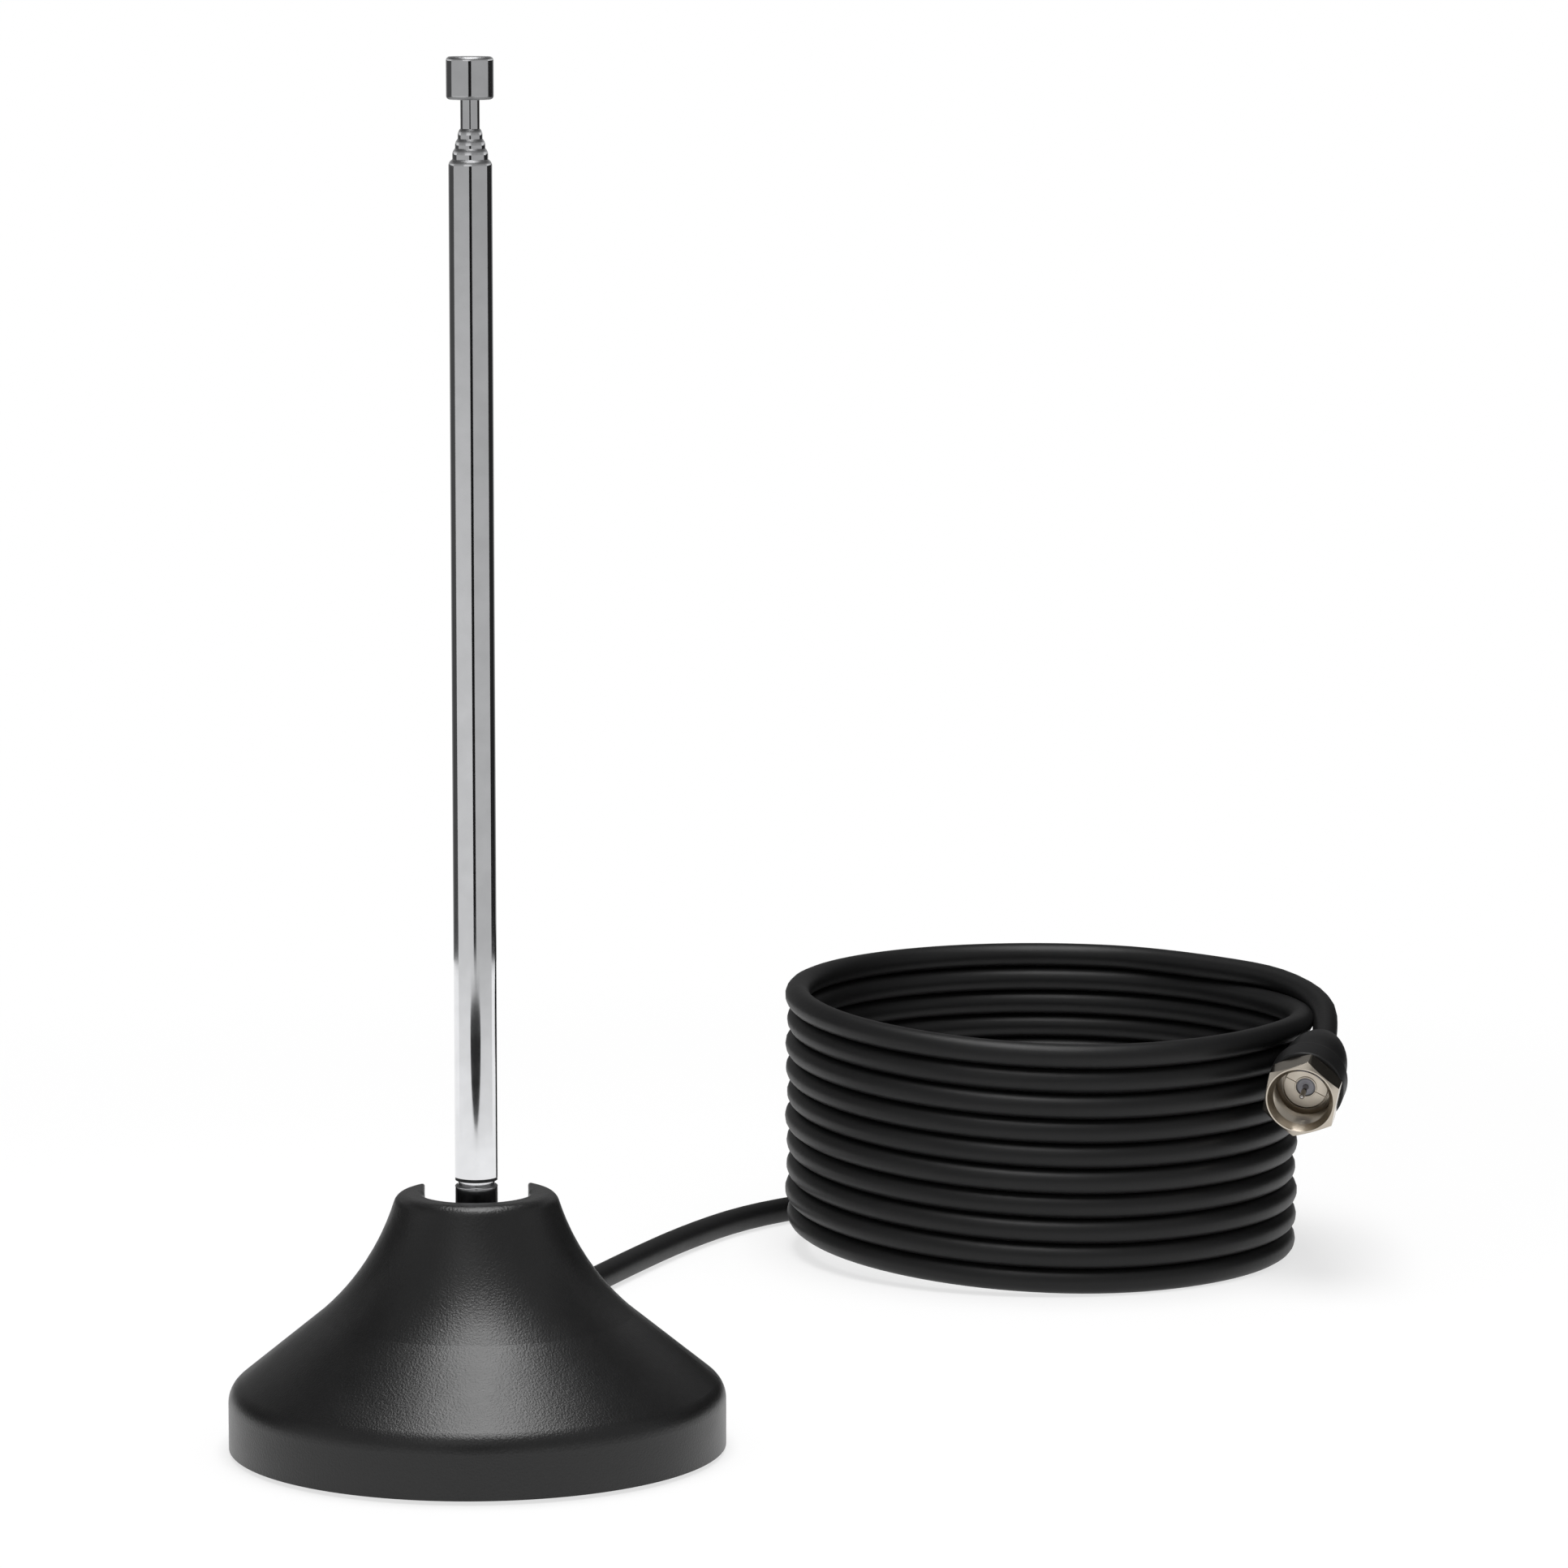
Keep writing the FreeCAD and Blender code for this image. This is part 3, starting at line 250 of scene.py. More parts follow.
class AerialSizes(PropertyGroup):
    """Sizes that a user would change."""

    cord_diameter: FloatProperty(name="Cord diameter", description="Outside of the coaxial cord",
                                 default=0.004, unit="LENGTH")
    coil_radius: FloatProperty(name="Coil radius", description="Coil, to the middle of the cord",
                               default=0.0394, unit="LENGTH")
    coil_turns: IntProperty(name="Coil turns", description="Whole turns of the coil", default=10, min=1)
    coil_top: FloatProperty(name="Coil top", description="Middle of the cord in the highest turn",
                            default=0.0415, unit="LENGTH")
    cord_length: FloatProperty(name="Cord length", description="From the grommet to the connector",
                               default=2.72, unit="LENGTH")
    nut_across: FloatProperty(name="Coupling nut", description="Coupling nut across its flats",
                              default=0.0111, unit="LENGTH")
    nut_length: FloatProperty(name="Nut length", description="Coupling nut from face to face",
                              default=0.0085, unit="LENGTH")
    thread_pitch: FloatProperty(name="Thread pitch", description="Pitch of the coupling nut's thread",
                                default=0.000794, unit="LENGTH")


class AerialFinishes(PropertyGroup):
    """Colours that a user would change."""

    shell: FloatVectorProperty(name="Foot", description="Moulded plastic of the foot", subtype="COLOR",
                               default=(0.0038, 0.0038, 0.004))
    vinyl: FloatVectorProperty(name="Cord", description="Vinyl of cord and boot", subtype="COLOR",
                               default=(0.006, 0.006, 0.0063))
    chrome: FloatVectorProperty(name="Mast", description="Plating of the mast", subtype="COLOR",
                                default=(0.78, 0.785, 0.8))
    nickel: FloatVectorProperty(name="Connector", description="Plating of the connector", subtype="COLOR",
                                default=(0.52, 0.47, 0.4))
    floor: FloatVectorProperty(name="Floor", description="Floor of the studio", subtype="COLOR",
                               default=(0.9, 0.9, 0.9))


def settings():
    """The sizes and the colours that the panel shows."""
    return bpy.context.scene.aerial_sizes, bpy.context.scene.aerial_finishes


def plug_place():
    """The connector's own frame: +Z runs from the nut's face back along the cord."""
    turn = Matrix.Rotation(math.radians(-PLUG_TURN), 4, "Z")
    droop = Matrix.Rotation(math.radians(PLUG_DROOP - 90), 4, "X")
    return Matrix.Translation(Vector(PLUG_MOUTH) * MM) @ turn @ droop


def across_place(start):
    """A frame on the mast's pivot whose +Z runs to the right."""
    place = Matrix.Translation(Vector((start, 0.0, PIVOT_HEIGHT)) * MM)
    return place @ Matrix.Rotation(math.radians(90), 4, "Y")


def new_material(name):
    """A material with a bare Principled shader, and its node tree."""
    material = bpy.data.materials.new(name)
    material.use_nodes = True
    tree = material.node_tree
    return material, tree, tree.nodes["Principled BSDF"]


def node(tree, kind, **values):
    """A shader node with its own settings by name and its input sockets by label."""
    made = tree.nodes.new(kind)
    for key, value in values.items():
        if hasattr(made, key):
            setattr(made, key, value)
        else:
            made.inputs[key].default_value = value
    return made


def noise(tree, scale, detail=PLAIN_DETAIL, stretch=(1, 1, 1)):
    """Noise on Object coordinates, stretched along the axes where the finish runs one way."""
    place = node(tree, "ShaderNodeTexCoord")
    mapping = node(tree, "ShaderNodeMapping", Scale=stretch)
    texture = node(tree, "ShaderNodeTexNoise", Scale=scale, Detail=detail)
    tree.links.new(place.outputs["Object"], mapping.inputs["Vector"])
    tree.links.new(mapping.outputs["Vector"], texture.inputs["Vector"])
    return texture.outputs["Fac"]


def spread(tree, fac, low, high, reach=(0.0, 1.0)):
    """Maps a pattern's reach to a range of numbers."""
    ramp = node(tree, "ShaderNodeMapRange")
    ramp.inputs["From Min"].default_value, ramp.inputs["From Max"].default_value = reach
    ramp.inputs["To Min"].default_value = low
    ramp.inputs["To Max"].default_value = high
    tree.links.new(fac, ramp.inputs["Value"])
    return ramp.outputs["Result"]


def tint(tree, fac, dark, light):
    """Mixes two colours by a pattern."""
    ramp = node(tree, "ShaderNodeValToRGB")
    first, last = ramp.color_ramp.elements
    first.position, last.position = TINT_REACH
    first.color, last.color = (*dark, 1), (*light, 1)
    tree.links.new(fac, ramp.inputs["Fac"])
    return ramp.outputs["Color"]


def bump(tree, shader, height, strength, distance):
    """Roughens a shader's surface by a pattern."""
    made = node(tree, "ShaderNodeBump", Strength=strength, Distance=distance)
    tree.links.new(height, made.inputs["Height"])
    tree.links.new(made.outputs["Normal"], shader.inputs["Normal"])


def shade(colour, factor):
    """A colour made darker or lighter."""
    return tuple(min(c * factor, 1.0) for c in colour)


def moulded_plastic(name, colour, rough, grain, depth, shine=MOULD_SHINE):
    """Moulded plastic with a spark-eroded grain, a little uneven in tone and gloss."""
    material, tree, shader = new_material(name)
    dark, light = (shade(colour, share) for share in MOULD_TONES)
    tone = tint(tree, noise(tree, MOULD_TONE), dark, light)
    gloss = spread(tree, noise(tree, MOULD_GLOSS), rough - MOULD_GLOSS_REACH, rough + MOULD_GLOSS_REACH)
    tree.links.new(tone, shader.inputs["Base Color"])
    tree.links.new(gloss, shader.inputs["Roughness"])
    shader.inputs["Specular IOR Level"].default_value = shine
    bump(tree, shader, noise(tree, grain, FINE_DETAIL), depth, GRAIN_HEIGHT)
    return material


def sloping(tree):
    """How far the surface turns up or down: 0 on upright walls, 1 on level ones."""
    place = node(tree, "ShaderNodeTexCoord")
    parts = node(tree, "ShaderNodeSeparateXYZ")
    size = node(tree, "ShaderNodeMath", operation="ABSOLUTE")
    tree.links.new(place.outputs["Normal"], parts.inputs["Vector"])
    tree.links.new(parts.outputs["Z"], size.inputs[0])
    return size.outputs["Value"]


def plated(name, colour, rough, streak, depth, rim_rough_and_shade=None):
    """Plated metal with faint draw marks; rims that turn from upright are rougher and carry painted
    shade.
    """
    material, tree, shader = new_material(name)
    shader.inputs["Metallic"].default_value = 1.0
    dark, light = (shade(colour, share) for share in PLATE_TONES)
    tone = tint(tree, noise(tree, PLATE_TONE, TONE_DETAIL), dark, light)
    gloss = spread(tree, noise(tree, PLATE_GLOSS), *(rough * share for share in PLATE_GLOSSES))
    if rim_rough_and_shade:
        rougher, darker = rim_rough_and_shade
        slope = sloping(tree)
        total = node(tree, "ShaderNodeMath", operation="ADD")
        tree.links.new(gloss, total.inputs[0])
        tree.links.new(spread(tree, slope, 0.0, rougher, RIM_SLOPE), total.inputs[1])
        # Painted shade: level-facing rims are dimmed to tone down the overhead lamp's reflection in them.
        dimmed = node(tree, "ShaderNodeVectorMath", operation="SCALE")
        tree.links.new(tone, dimmed.inputs["Vector"])
        tree.links.new(spread(tree, slope, 1.0, darker, RIM_SLOPE), dimmed.inputs["Scale"])
        gloss, tone = total.outputs["Value"], dimmed.outputs["Vector"]
    tree.links.new(tone, shader.inputs["Base Color"])
    tree.links.new(gloss, shader.inputs["Roughness"])
    bump(tree, shader, noise(tree, streak, FINE_DETAIL, DRAWN), depth, MARK_HEIGHT)
    return material


def finishes():
    """Every finish of the aerial, by name; made once."""
    _, colours = settings()
    made = {m.name: m for m in bpy.data.materials if m.name.startswith("aerial_")}
    if made:
        return made
    for material in (
        moulded_plastic("aerial_shell", colours.shell, rough=0.35, grain=3400.0, depth=0.25),
        moulded_plastic("aerial_cover", shade(colours.shell, 1.5), rough=0.55, grain=1800.0, depth=0.2),
        moulded_plastic("aerial_pad", shade(colours.shell, 2.2), rough=0.85, grain=3000.0, depth=0.6,
                        shine=0.2),
        moulded_plastic("aerial_vinyl", colours.vinyl, rough=0.46, grain=900.0, depth=0.1, shine=0.3),
        # Rubber of the grommet; the same dark material is painted shade in the groove below the mast's
        # outer tube.
        moulded_plastic("aerial_rubber", shade(colours.vinyl, 1.2), rough=0.55, grain=2000.0, depth=0.2),
        moulded_plastic("aerial_insulator", (0.36, 0.36, 0.4), rough=0.5, grain=3000.0, depth=0.15),
        moulded_plastic("aerial_ballast", (0.09, 0.09, 0.09), rough=0.7, grain=900.0, depth=0.6),
        plated("aerial_chrome", colours.chrome, rough=0.06, streak=1500.0, depth=0.01, rim_rough_and_shade=RIM_ROUGH_AND_SHADE),
        plated("aerial_nickel", colours.nickel, rough=0.2, streak=1500.0, depth=0.06),
        plated("aerial_core", shade(colours.nickel, 1.25), rough=0.42, streak=2500.0, depth=0.2),
        plated("aerial_tin", (0.42, 0.4, 0.38), rough=0.16, streak=1500.0, depth=0.05),
        plated("aerial_steel", (0.55, 0.55, 0.56), rough=0.3, streak=1200.0, depth=0.1),
        plated("aerial_brass", (0.72, 0.52, 0.24), rough=0.3, streak=1200.0, depth=0.1),
    ):
        made[material.name] = material
    return made


def turned(outline, closed=True):
    """Turns an outline of radius and height in millimetres about Z; an open one ends on the axis."""
    shape = bmesh.new()
    line = [shape.verts.new((radius, 0.0, height)) for radius, height in outline]
    following = line[1:] + line[:1] if closed else line[1:]
    edges = [shape.edges.new(pair) for pair in zip(line, following)]
    bmesh.ops.spin(shape, geom=line + edges, cent=(0, 0, 0), axis=(0, 0, 1), angle=math.tau,
                   steps=TURN_STEPS, use_merge=True)
    bmesh.ops.remove_doubles(shape, verts=shape.verts[:], dist=WELD)
    bmesh.ops.recalc_face_normals(shape, faces=shape.faces[:])
    return shape


def everything(shape):
    """All of a shape's points, edges and faces."""
    return shape.verts[:] + shape.edges[:] + shape.faces[:]


def mill_hexagon(shape, across, clock):
    """Mills six flats on a turned shape; clock is the angle of the first corner in degrees."""
    for index in range(FLATS):
        angle = math.radians(clock + 360 / FLATS * (index + 0.5))
        outward = Vector((math.cos(angle), math.sin(angle), 0.0))
        cut = bmesh.ops.bisect_plane(shape, geom=everything(shape), dist=CUT_NEAR,
                                     plane_co=outward * across / 2, plane_no=outward, clear_outer=True)
        rim = [part for part in cut["geom_cut"] if isinstance(part, bmesh.types.BMEdge)]
        bmesh.ops.holes_fill(shape, edges=rim, sides=0)
    bmesh.ops.recalc_face_normals(shape, faces=shape.faces[:])


def cut_groove(shape, angle, width, depth, below):
    """Sinks a straight groove across the end face that lies below a height, by a depth."""
    turn = math.radians(angle)
    sideways = Vector((-math.sin(turn), math.cos(turn), 0.0))
    for edge in (-width / 2, width / 2):
        bmesh.ops.bisect_plane(shape, geom=everything(shape), dist=CUT_NEAR,
                               plane_co=sideways * edge, plane_no=sideways)
    middles = {face: face.calc_center_median() for face in shape.faces}
    strip = [face for face, middle in middles.items()
             if middle.z < below and abs(middle.dot(sideways)) < width / 2]
    sunk = bmesh.ops.extrude_face_region(shape, geom=strip)
    floor = [part for part in sunk["geom"] if isinstance(part, bmesh.types.BMVert)]
    bmesh.ops.translate(shape, verts=floor, vec=(0.0, 0.0, depth))
    bmesh.ops.delete(shape, geom=[face for face in strip if face.is_valid], context="FACES")
    bmesh.ops.recalc_face_normals(shape, faces=shape.faces[:])


def add_piece(name, shape, place, material, body, slot, *nodes, ease=EASE):
    """Scales a shape to metres and puts it in its place on its body; ease None keeps edges sharp."""
    bmesh.ops.transform(shape, matrix=place @ Matrix.Scale(MM, 4), verts=shape.verts[:])
    mesh = bpy.data.meshes.new(name)
    shape.to_mesh(mesh)
    shape.free()
    mesh.shade_smooth()
    piece = add_object(name, mesh, material, body, slot, *nodes)
    if ease is None:
        mesh.set_sharp_from_angle(angle=SHARP_ANGLE)
        return piece
    edges = piece.modifiers.new("eased_edges", "BEVEL")
    edges.width = ease * MM
    edges.segments = EASE_STEPS
    edges.limit_method = "ANGLE"
    edges.angle_limit = SHARP_ANGLE
    edges.harden_normals = True
    return piece


def add_object(name, data, material, body, slot, *nodes):
    """Puts a piece in the scene, on its body, in place of its CAD nodes."""
    piece = bpy.data.objects.new(name, data)
    bpy.context.scene.collection.objects.link(piece)
    data.materials.append(material)
    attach(piece, body)
    if nodes:
        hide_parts(*nodes)
    return piece


def seen_directly(tree):
    """1 for what the camera sees, also in a mirror or through glass."""
    path = node(tree, "ShaderNodeLightPath")
    total = path.outputs["Is Camera Ray"]
    for name in ("Is Glossy Ray", "Is Transmission Ray"):
        greater = node(tree, "ShaderNodeMath", operation="MAXIMUM")
        tree.links.new(total, greater.inputs[0])
        tree.links.new(path.outputs[name], greater.inputs[1])
        total = greater.outputs["Value"]
    return total


class AERIAL_OT_stage(Operator):
    """Sets the camera, the pale floor, the soft boxes and the white surroundings"""

    bl_idname = "aerial.stage"
    bl_label = "Studio"

    def execute(self, context):
        scene = context.scene
        scene.view_settings.view_transform = "Standard"
        camera = bpy.data.cameras.new("view")
        camera.sensor_width = SENSOR
        camera.lens = LENS
        camera.clip_start = VIEW_FROM
        stand = bpy.data.objects.new("view", camera)
        stand.location = VIEW_PLACE
        stand.rotation_euler = (math.radians(90 - LOOK_DOWN), 0.0, math.radians(-LOOK_RIGHT))
        scene.collection.objects.link(stand)
        scene.camera = stand
        self.floor(scene)
        self.surroundings(scene)
        self.reflectors(scene)
        self.lamps(scene)
        return {"FINISHED"}

    def floor(self, scene):
        """A pale floor that keeps the shadow and goes over into the white surroundings."""
        _, colours = settings()
        shape = bmesh.new()
        bmesh.ops.create_grid(shape, x_segments=1, y_segments=1, size=FLOOR_SIZE)
        material, tree, shader = new_material("studio_floor")
        shader.inputs["Base Color"].default_value = (*colours.floor, 1)
        shader.inputs["Roughness"].default_value = FLOOR_ROUGH
        shader.inputs["Specular IOR Level"].default_value = FLOOR_SHINE
        white = node(tree, "ShaderNodeEmission", Strength=WHITE_LEVEL)
        far = node(tree, "ShaderNodeMixShader")
        tree.links.new(self.distance(tree), far.inputs["Fac"])
        tree.links.new(shader.outputs["BSDF"], far.inputs[1])
        tree.links.new(white.outputs["Emission"], far.inputs[2])
        choice = node(tree, "ShaderNodeMixShader")
        tree.links.new(seen_directly(tree), choice.inputs["Fac"])
        tree.links.new(shader.outputs["BSDF"], choice.inputs[1])
        tree.links.new(far.outputs["Shader"], choice.inputs[2])
        tree.links.new(choice.outputs["Shader"], tree.nodes["Material Output"].inputs["Surface"])
        self.add(scene, "floor", shape, material)

    def add(self, scene, name, shape, material):
        """Puts a piece of the stage in the scene."""
        mesh = bpy.data.meshes.new(name)
        shape.to_mesh(mesh)
        shape.free()
        mesh.materials.append(material)
        made = bpy.data.objects.new(name, mesh)
        scene.collection.objects.link(made)
        return made

    def distance(self, tree):
        """The share of plain white in the floor: part of it round the aerial, all of it further out."""
        place = node(tree, "ShaderNodeTexCoord")
        away = node(tree, "ShaderNodeVectorMath", operation="DISTANCE")
        away.inputs[1].default_value = FLOOR_MIDDLE
        ramp = node(tree, "ShaderNodeMapRange", interpolation_type="SMOOTHSTEP")
        ramp.inputs["From Min"].default_value, ramp.inputs["From Max"].default_value = FLOOR_FADE
        ramp.inputs["To Min"].default_value = FLOOR_LIFT
        tree.links.new(place.outputs["Object"], away.inputs[0])
        tree.links.new(away.outputs["Value"], ramp.inputs["Value"])
        return ramp.outputs["Result"]

    def reflectors(self, scene):
        """Boards that only mirrors see: walls, aprons and a dark patch below, a dark ceiling."""
        for name, start, stop, low, high, foot, top in BOARDS:
            edge = (BOARD_RADIUS, low), (BOARD_RADIUS, high)
            self.mirror_only(scene, name, self.sweep(edge, start, stop), foot, top, BOARD_REACH)
        for name, start, stop, outer, inner in APRONS:
            edge = [(radius, APRON_HEIGHT) for radius in APRON_REACH]
            self.mirror_only(scene, name, self.sweep(edge, start, stop), outer, inner, APRON_REACH)
        shape = bmesh.new()
        bmesh.ops.create_circle(shape, cap_ends=True, segments=PATCH_STEPS, radius=1.0)
        bmesh.ops.scale(shape, verts=shape.verts[:], vec=PATCH_HALF)
        bmesh.ops.translate(shape, verts=shape.verts[:], vec=PATCH_MIDDLE)
        self.mirror_only(scene, "floor_patch", shape, PATCH_LEVEL, PATCH_LEVEL)
        shape = bmesh.new()
        bmesh.ops.create_circle(shape, cap_ends=True, segments=CEILING_STEPS, radius=CEILING_RADIUS)
        bmesh.ops.translate(shape, verts=shape.verts[:], vec=(0.0, 0.0, CEILING_HEIGHT))
        self.mirror_only(scene, "ceiling", shape, CEILING_LEVEL, CEILING_LEVEL)

    def sweep(self, edge, start, stop):
        """An edge of radius and height swept round the mast between two angles from the camera."""
        shape = bmesh.new()
        ends = [shape.verts.new((0.0, -radius, height)) for radius, height in edge]
        line = shape.edges.new(ends)
        turn = Matrix.Rotation(math.radians(start), 3, "Z")
        bmesh.ops.rotate(shape, verts=ends, cent=(0, 0, 0), matrix=turn)
        bmesh.ops.spin(shape, geom=[*ends, line], cent=(0, 0, 0), axis=(0, 0, 1),
                       angle=math.radians(stop - start), steps=BOARD_STEPS, use_merge=False)
        return shape

    def mirror_only(self, scene, name, shape, first, last, reach=(0.0, 1.0)):
        """A board seen only in mirrors; its level may change with the distance from the mast's foot."""
        material, tree, _ = new_material(f"studio_{name}")
        glow = node(tree, "ShaderNodeEmission", Strength=first)
        if last != first:
            place = node(tree, "ShaderNodeTexCoord")
            away = node(tree, "ShaderNodeVectorMath", operation="LENGTH")
            tree.links.new(place.outputs["Object"], away.inputs[0])
            level = spread(tree, away.outputs["Value"], first, last, reach)
            tree.links.new(level, glow.inputs["Strength"])
        tree.links.new(glow.outputs["Emission"], tree.nodes["Material Output"].inputs["Surface"])
        board = self.add(scene, name, shape, material)
        board.visible_camera = False
        board.visible_diffuse = False
        board.visible_shadow = False
        board.visible_transmission = False

    def surroundings(self, scene):
        """A world that is white to look at and lights the aerial with a weaker fill."""
        world = bpy.data.worlds.new("studio")
        world.use_nodes = True
        scene.world = world
        tree = world.node_tree
        fill = tree.nodes["Background"]
        fill.inputs["Color"].default_value = WHITE
        fill.inputs["Strength"].default_value = FILL_LEVEL
        white = node(tree, "ShaderNodeBackground", Color=WHITE, Strength=WHITE_LEVEL)
        choice = node(tree, "ShaderNodeMixShader")
        tree.links.new(seen_directly(tree), choice.inputs["Fac"])
        tree.links.new(fill.outputs["Background"], choice.inputs[1])
        tree.links.new(white.outputs["Background"], choice.inputs[2])
        tree.links.new(choice.outputs["Shader"], tree.nodes["World Output"].inputs["Surface"])

    def lamps(self, scene):
        """Soft boxes, each turned to its aim."""
        for name, place, aim, size, watts in LAMPS:
            lamp = bpy.data.lights.new(name, "AREA")
            lamp.shape = "RECTANGLE"
            lamp.size, lamp.size_y = size
            lamp.energy = watts
            stand = bpy.data.objects.new(name, lamp)
            stand.location = place
            stand.rotation_euler = (Vector(aim) - Vector(place)).to_track_quat("-Z", "Y").to_euler()
            stand.visible_camera = False
            scene.collection.objects.link(stand)


class AERIAL_OT_connector(Operator):
    """Turns the connector: threaded coupling nut, split plug, insulator and centre pin"""

    bl_idname = "aerial.connector"
    bl_label = "Connector"

    def execute(self, context):
        made, place = finishes(), plug_place()
        add_piece("coupling_nut", self.nut(), place, made["aerial_nickel"], "nut", "connector_nickel",
                  "connector_nut", ease=NUT_EASE)
        body = turned(PLUG_BODY)
        cut_groove(body, *PLUG_SPLIT)
        add_piece("plug_body", body, place, made["aerial_core"], "base", "connector_nickel",
                  "connector_body", ease=None)
        add_piece("plug_insulator", turned(INSULATOR), place, made["aerial_insulator"], "base",
                  "insulator_plastic", "connector_insulator")
        angles = [math.radians(90 * step / ARC_STEPS) for step in range(ARC_STEPS + 1)]
        tip = [(PIN_R * math.sin(a), PIN_TIP + PIN_R * (1 - math.cos(a))) for a in angles]
        pin = turned(tip + [(PIN_R, PLUG_BACK), (0.0, PLUG_BACK)], closed=False)
        add_piece("plug_pin", pin, place, made["aerial_tin"], "base", "connector_nickel",
                  "connector_pin")
        return {"FINISHED"}

    def nut(self):
        """A turned blank with a ridged bore and a plain sleeve, milled to a hexagon in front."""
        sizes, _ = settings()
        across, length = sizes.nut_across / MM, sizes.nut_length / MM
        pitch = sizes.thread_pitch / MM
        corner = across / 2 / math.cos(math.pi / FLATS)
        outline = [(NUT_MOUTH_R, 0.0), (NUT_FACE_R, 0.0), (corner, NUT_BEVEL),
                   (corner, NUT_HEX - NUT_BEVEL), (NUT_FACE_R, NUT_HEX), (NUT_SLEEVE_R, NUT_HEX),
                   (NUT_SLEEVE_R, length), (NUT_THROAT_R, length), (NUT_THROAT_R, NUT_BORE),
                   (NUT_POCKET_R, NUT_BORE), (NUT_POCKET_R, NUT_SEAT), (NUT_ROOT_R, NUT_SEAT)]
        ridges = int((NUT_SEAT - pitch) / pitch)
        for index in range(ridges):
            root = NUT_SEAT - pitch * (index + 0.5)
            outline += [(NUT_ROOT_R, root), (NUT_CREST_R, root - pitch / 2)]
        blank = turned(outline)
        mill_hexagon(blank, across, NUT_CLOCK)
        return blank


class AERIAL_OT_boot(Operator):
    """Turns the connector's boot, with its skirt round the nut and its taper to the cord"""

    bl_idname = "aerial.boot"
    bl_label = "Boot"

    def execute(self, context):
        shares = [step / TAPER_STEPS for step in range(TAPER_STEPS + 1)]
        (wide, start), (slim, end) = BOOT_SKIRT, BOOT_BARREL
        step_in = [(slim + (wide - slim) * (1 + math.cos(math.pi * share)) / 2,
                    start + (end - start) * share) for share in shares]
        (wide, start), (slim, end) = BOOT_SLEEVE, BOOT_TIP
        taper = [(slim + (wide - slim) * (1 - share ** 2), start + (end - start) * share)
                 for share in shares]
        boot = turned(BOOT_FRONT + step_in + taper + BOOT_END, closed=False)
        add_piece("strain_boot", boot, plug_place(), finishes()["aerial_vinyl"], "base", "boot_vinyl",
                  "connector_boot", ease=BOOT_EASE)
        return {"FINISHED"}


class AERIAL_OT_grommet(Operator):
    """Turns the grommet where the cord leaves the foot, with the cuts that let it bend"""

    bl_idname = "aerial.grommet"
    bl_label = "Grommet"

    def execute(self, context):
        wide, start = GROMMET_INSIDE[-1]
        slim, end = GROMMET_END[0]
        depth, slope, width = GROMMET_CUT
        outline = list(GROMMET_INSIDE)
        for low in GROMMET_CUTS:
            high = low + width + slope
            near, far = (wide + (slim - wide) * (z - start) / (end - start) for z in (low, high))
            outline += [(near, low), (near - depth, low + slope),
                        (near - depth, low + width), (far, high)]
        outline += GROMMET_END
        place = Matrix.Translation(Vector(GROMMET_PLACE) * MM)
        place @= Matrix.Rotation(math.radians(-90), 4, "X")
        add_piece("bend_grommet", turned(outline), place, finishes()["aerial_rubber"], "base",
                  "grommet_rubber", "cord_grommet")
        return {"FINISHED"}


class AERIAL_OT_neck(Operator):
    """Turns a dark ring that fills the groove between the mast's outer tube and its knuckle: painted
    shade
    """

    bl_idname = "aerial.neck"
    bl_label = "Neck ring"

    def execute(self, context):
        add_piece("groove_shade_ring", turned(NECK_RING), Matrix(), finishes()["aerial_rubber"], "mast",
                  "grommet_rubber", ease=NECK_EASE)
        return {"FINISHED"}


class AERIAL_OT_pivot(Operator):
    """Turns the mast's pivot screw with its slotted head, and mills its nut"""

    bl_idname = "aerial.pivot"
    bl_label = "Pivot screw and nut"

    def execute(self, context):
        steel = finishes()["aerial_steel"]
        ball = (SCREW_HEAD_R ** 2 + SCREW_DOME ** 2) / (2 * SCREW_DOME)
        reach = math.asin(SCREW_HEAD_R / ball)
        angles = [reach * step / ARC_STEPS for step in range(ARC_STEPS + 1)]
        dome = [(ball * math.sin(a), ball * (1 - math.cos(a))) for a in angles]
        screw = turned(dome + SCREW_SHANK, closed=False)
        cut_groove(screw, *SCREW_SLOT)
        add_piece("hinge_screw", screw, across_place(SCREW_START), steel, "base", "screw_steel",
                  "pivot_screw", ease=None)
        nut = turned(PIVOT_NUT)
        mill_hexagon(nut, PIVOT_NUT_AF, PIVOT_NUT_CLOCK)
        add_piece("hinge_nut", nut, across_place(PIVOT_NUT_START), steel, "base", "screw_steel",
                  "pivot_nut")
        return {"FINISHED"}


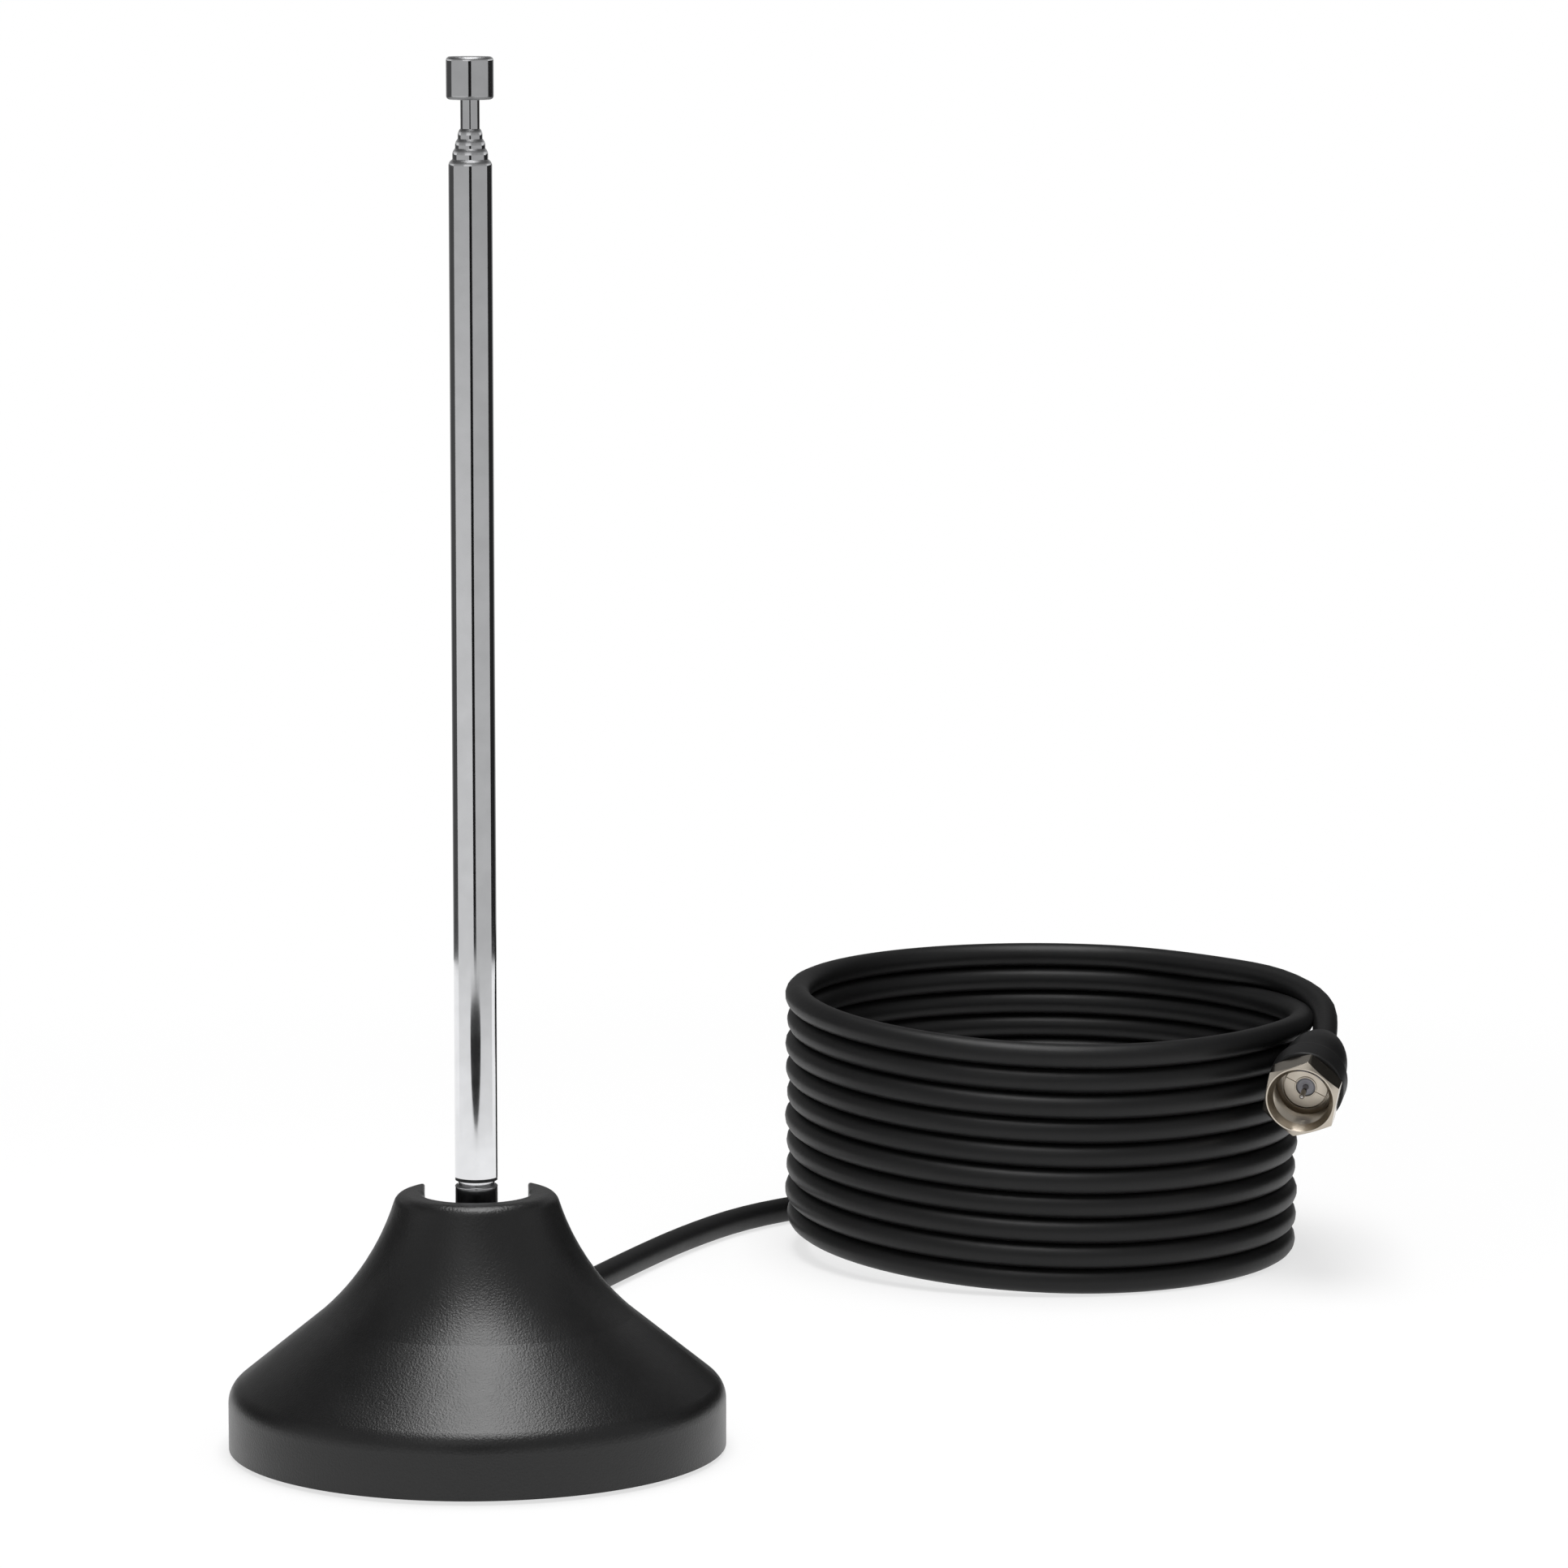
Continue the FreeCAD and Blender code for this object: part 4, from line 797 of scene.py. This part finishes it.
class AERIAL_OT_cord(Operator):
    """Lays the coaxial cord from the foot, round its coil and into the connector's boot"""

    bl_idname = "aerial.cord"
    bl_label = "Cord"

    def execute(self, context):
        sizes, _ = settings()
        points = [Vector(p) * MM for p in LEAD_ROUTE] + self.coil(sizes)
        points += [Vector(p) * MM for p in TAIL_ROUTE]
        curve = bpy.data.curves.new("coax_cord", "CURVE")
        curve.dimensions = "3D"
        curve.bevel_depth = sizes.cord_diameter / 2
        curve.bevel_resolution = CORD_ROUNDING
        curve.resolution_u = CORD_STEPS
        curve.use_fill_caps = True
        spline = curve.splines.new("NURBS")
        spline.points.add(len(points) - 1)
        for control, point in zip(spline.points, points):
            control.co = (*point, 1.0)
        spline.order_u = CORD_ORDER
        spline.use_endpoint_u = True
        cord = add_object("coax_cord", curve, finishes()["aerial_vinyl"], "base", "cord_vinyl",
                          "cord_lead", "cord_coil", "cord_tail")
        return {"FINISHED"}

    def coil(self, sizes):
        """Turns that lie flat and each climb to the next over the same stretch, a little uneven."""
        middle = Vector((*COIL_CENTRE, 0.0)) * MM
        low = sizes.cord_diameter / 2
        rise = (sizes.coil_top - low) / sizes.coil_turns
        sweep = sizes.coil_turns * 360 + COIL_FROM - COIL_TO
        count = round(sweep / 360 * COIL_STEPS)
        most, where, width, share_in = SWELL
        points = []
        for index in range(count + 1):
            swept = sweep * index / count
            turns, into = divmod(swept, 360)
            share = min(max((into - CLIMB_FROM) / (CLIMB_TO - CLIMB_FROM), 0.0), 1.0)
            climb = share * share * (3 - 2 * share)
            give = COIL_UNEVEN * (0.5 + 0.5 * math.sin(math.radians(swept * COIL_WAVE)))
            below = sizes.coil_turns - 1 - turns
            fade = max(1 - (below / share_in) ** 2, 0.0)
            give -= most * fade * math.exp(-((COIL_FROM - into - where) / width) ** 2)
            radius = (sizes.coil_radius - give * MM) / math.cos(math.pi / COIL_STEPS)
            angle = math.radians(COIL_FROM - swept)
            points.append(middle + Vector((radius * math.cos(angle), radius * math.sin(angle),
                                           low + rise * (turns + climb))))
        return points


# The CAD nodes that stay, by finish.
NODE_FINISHES = {
    "aerial_shell": ("base_shell",),
    "aerial_cover": ("base_plate",),
    "aerial_pad": ("foot_pad",),
    "aerial_ballast": ("ballast_ring",),
    "aerial_vinyl": ("cord_inner_end",),
    "aerial_chrome": ("knuckle", "mast_tube_1", "mast_tube_2", "mast_tube_3", "mast_tube_4", "tip_rod",
                      "tip_knob"),
    "aerial_steel": ("cover_screws", "hinge_yoke", "friction_washer_left", "friction_washer_right",
                     "yoke_screw"),
    "aerial_brass": ("terminal_lug", "tube_foot_2", "tube_foot_3", "tube_foot_4", "rod_foot",
                     "feed_wire"),
}


class AERIAL_OT_nodes(Operator):
    """Gives each CAD node that stays its finish"""

    bl_idname = "aerial.nodes"
    bl_label = "Finishes of the frame"

    def execute(self, context):
        made = finishes()
        for name, nodes in NODE_FINISHES.items():
            for cad_node in nodes:
                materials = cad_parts[cad_node].data.materials
                materials.clear()
                materials.append(made[name])
        return {"FINISHED"}


class AERIAL_PT_pieces(Panel):
    """Lists the pieces of the aerial"""

    bl_label = "Indoor aerial"
    bl_space_type = "VIEW_3D"
    bl_region_type = "UI"
    bl_category = "Aerial"

    def draw(self, context):
        for operator in OPERATORS:
            self.layout.operator(operator.bl_idname)
        for group in (context.scene.aerial_sizes, context.scene.aerial_finishes):
            for key in group.__annotations__:
                self.layout.prop(group, key)


OPERATORS = (AERIAL_OT_stage, AERIAL_OT_connector, AERIAL_OT_boot, AERIAL_OT_grommet, AERIAL_OT_neck,
             AERIAL_OT_pivot, AERIAL_OT_cord, AERIAL_OT_nodes)
CLASSES = (AerialSizes, AerialFinishes, *OPERATORS, AERIAL_PT_pieces)


def register():
    for kind in CLASSES:
        bpy.utils.register_class(kind)
    bpy.types.Scene.aerial_sizes = PointerProperty(type=AerialSizes)
    bpy.types.Scene.aerial_finishes = PointerProperty(type=AerialFinishes)


def unregister():
    del bpy.types.Scene.aerial_finishes
    del bpy.types.Scene.aerial_sizes
    for kind in reversed(CLASSES):
        bpy.utils.unregister_class(kind)


def main():
    """Dresses the frame."""
    register()
    bpy.ops.aerial.stage()
    bpy.ops.aerial.connector()
    bpy.ops.aerial.boot()
    bpy.ops.aerial.grommet()
    bpy.ops.aerial.neck()
    bpy.ops.aerial.pivot()
    bpy.ops.aerial.cord()
    bpy.ops.aerial.nodes()


if __name__ == "__main__":
    main()
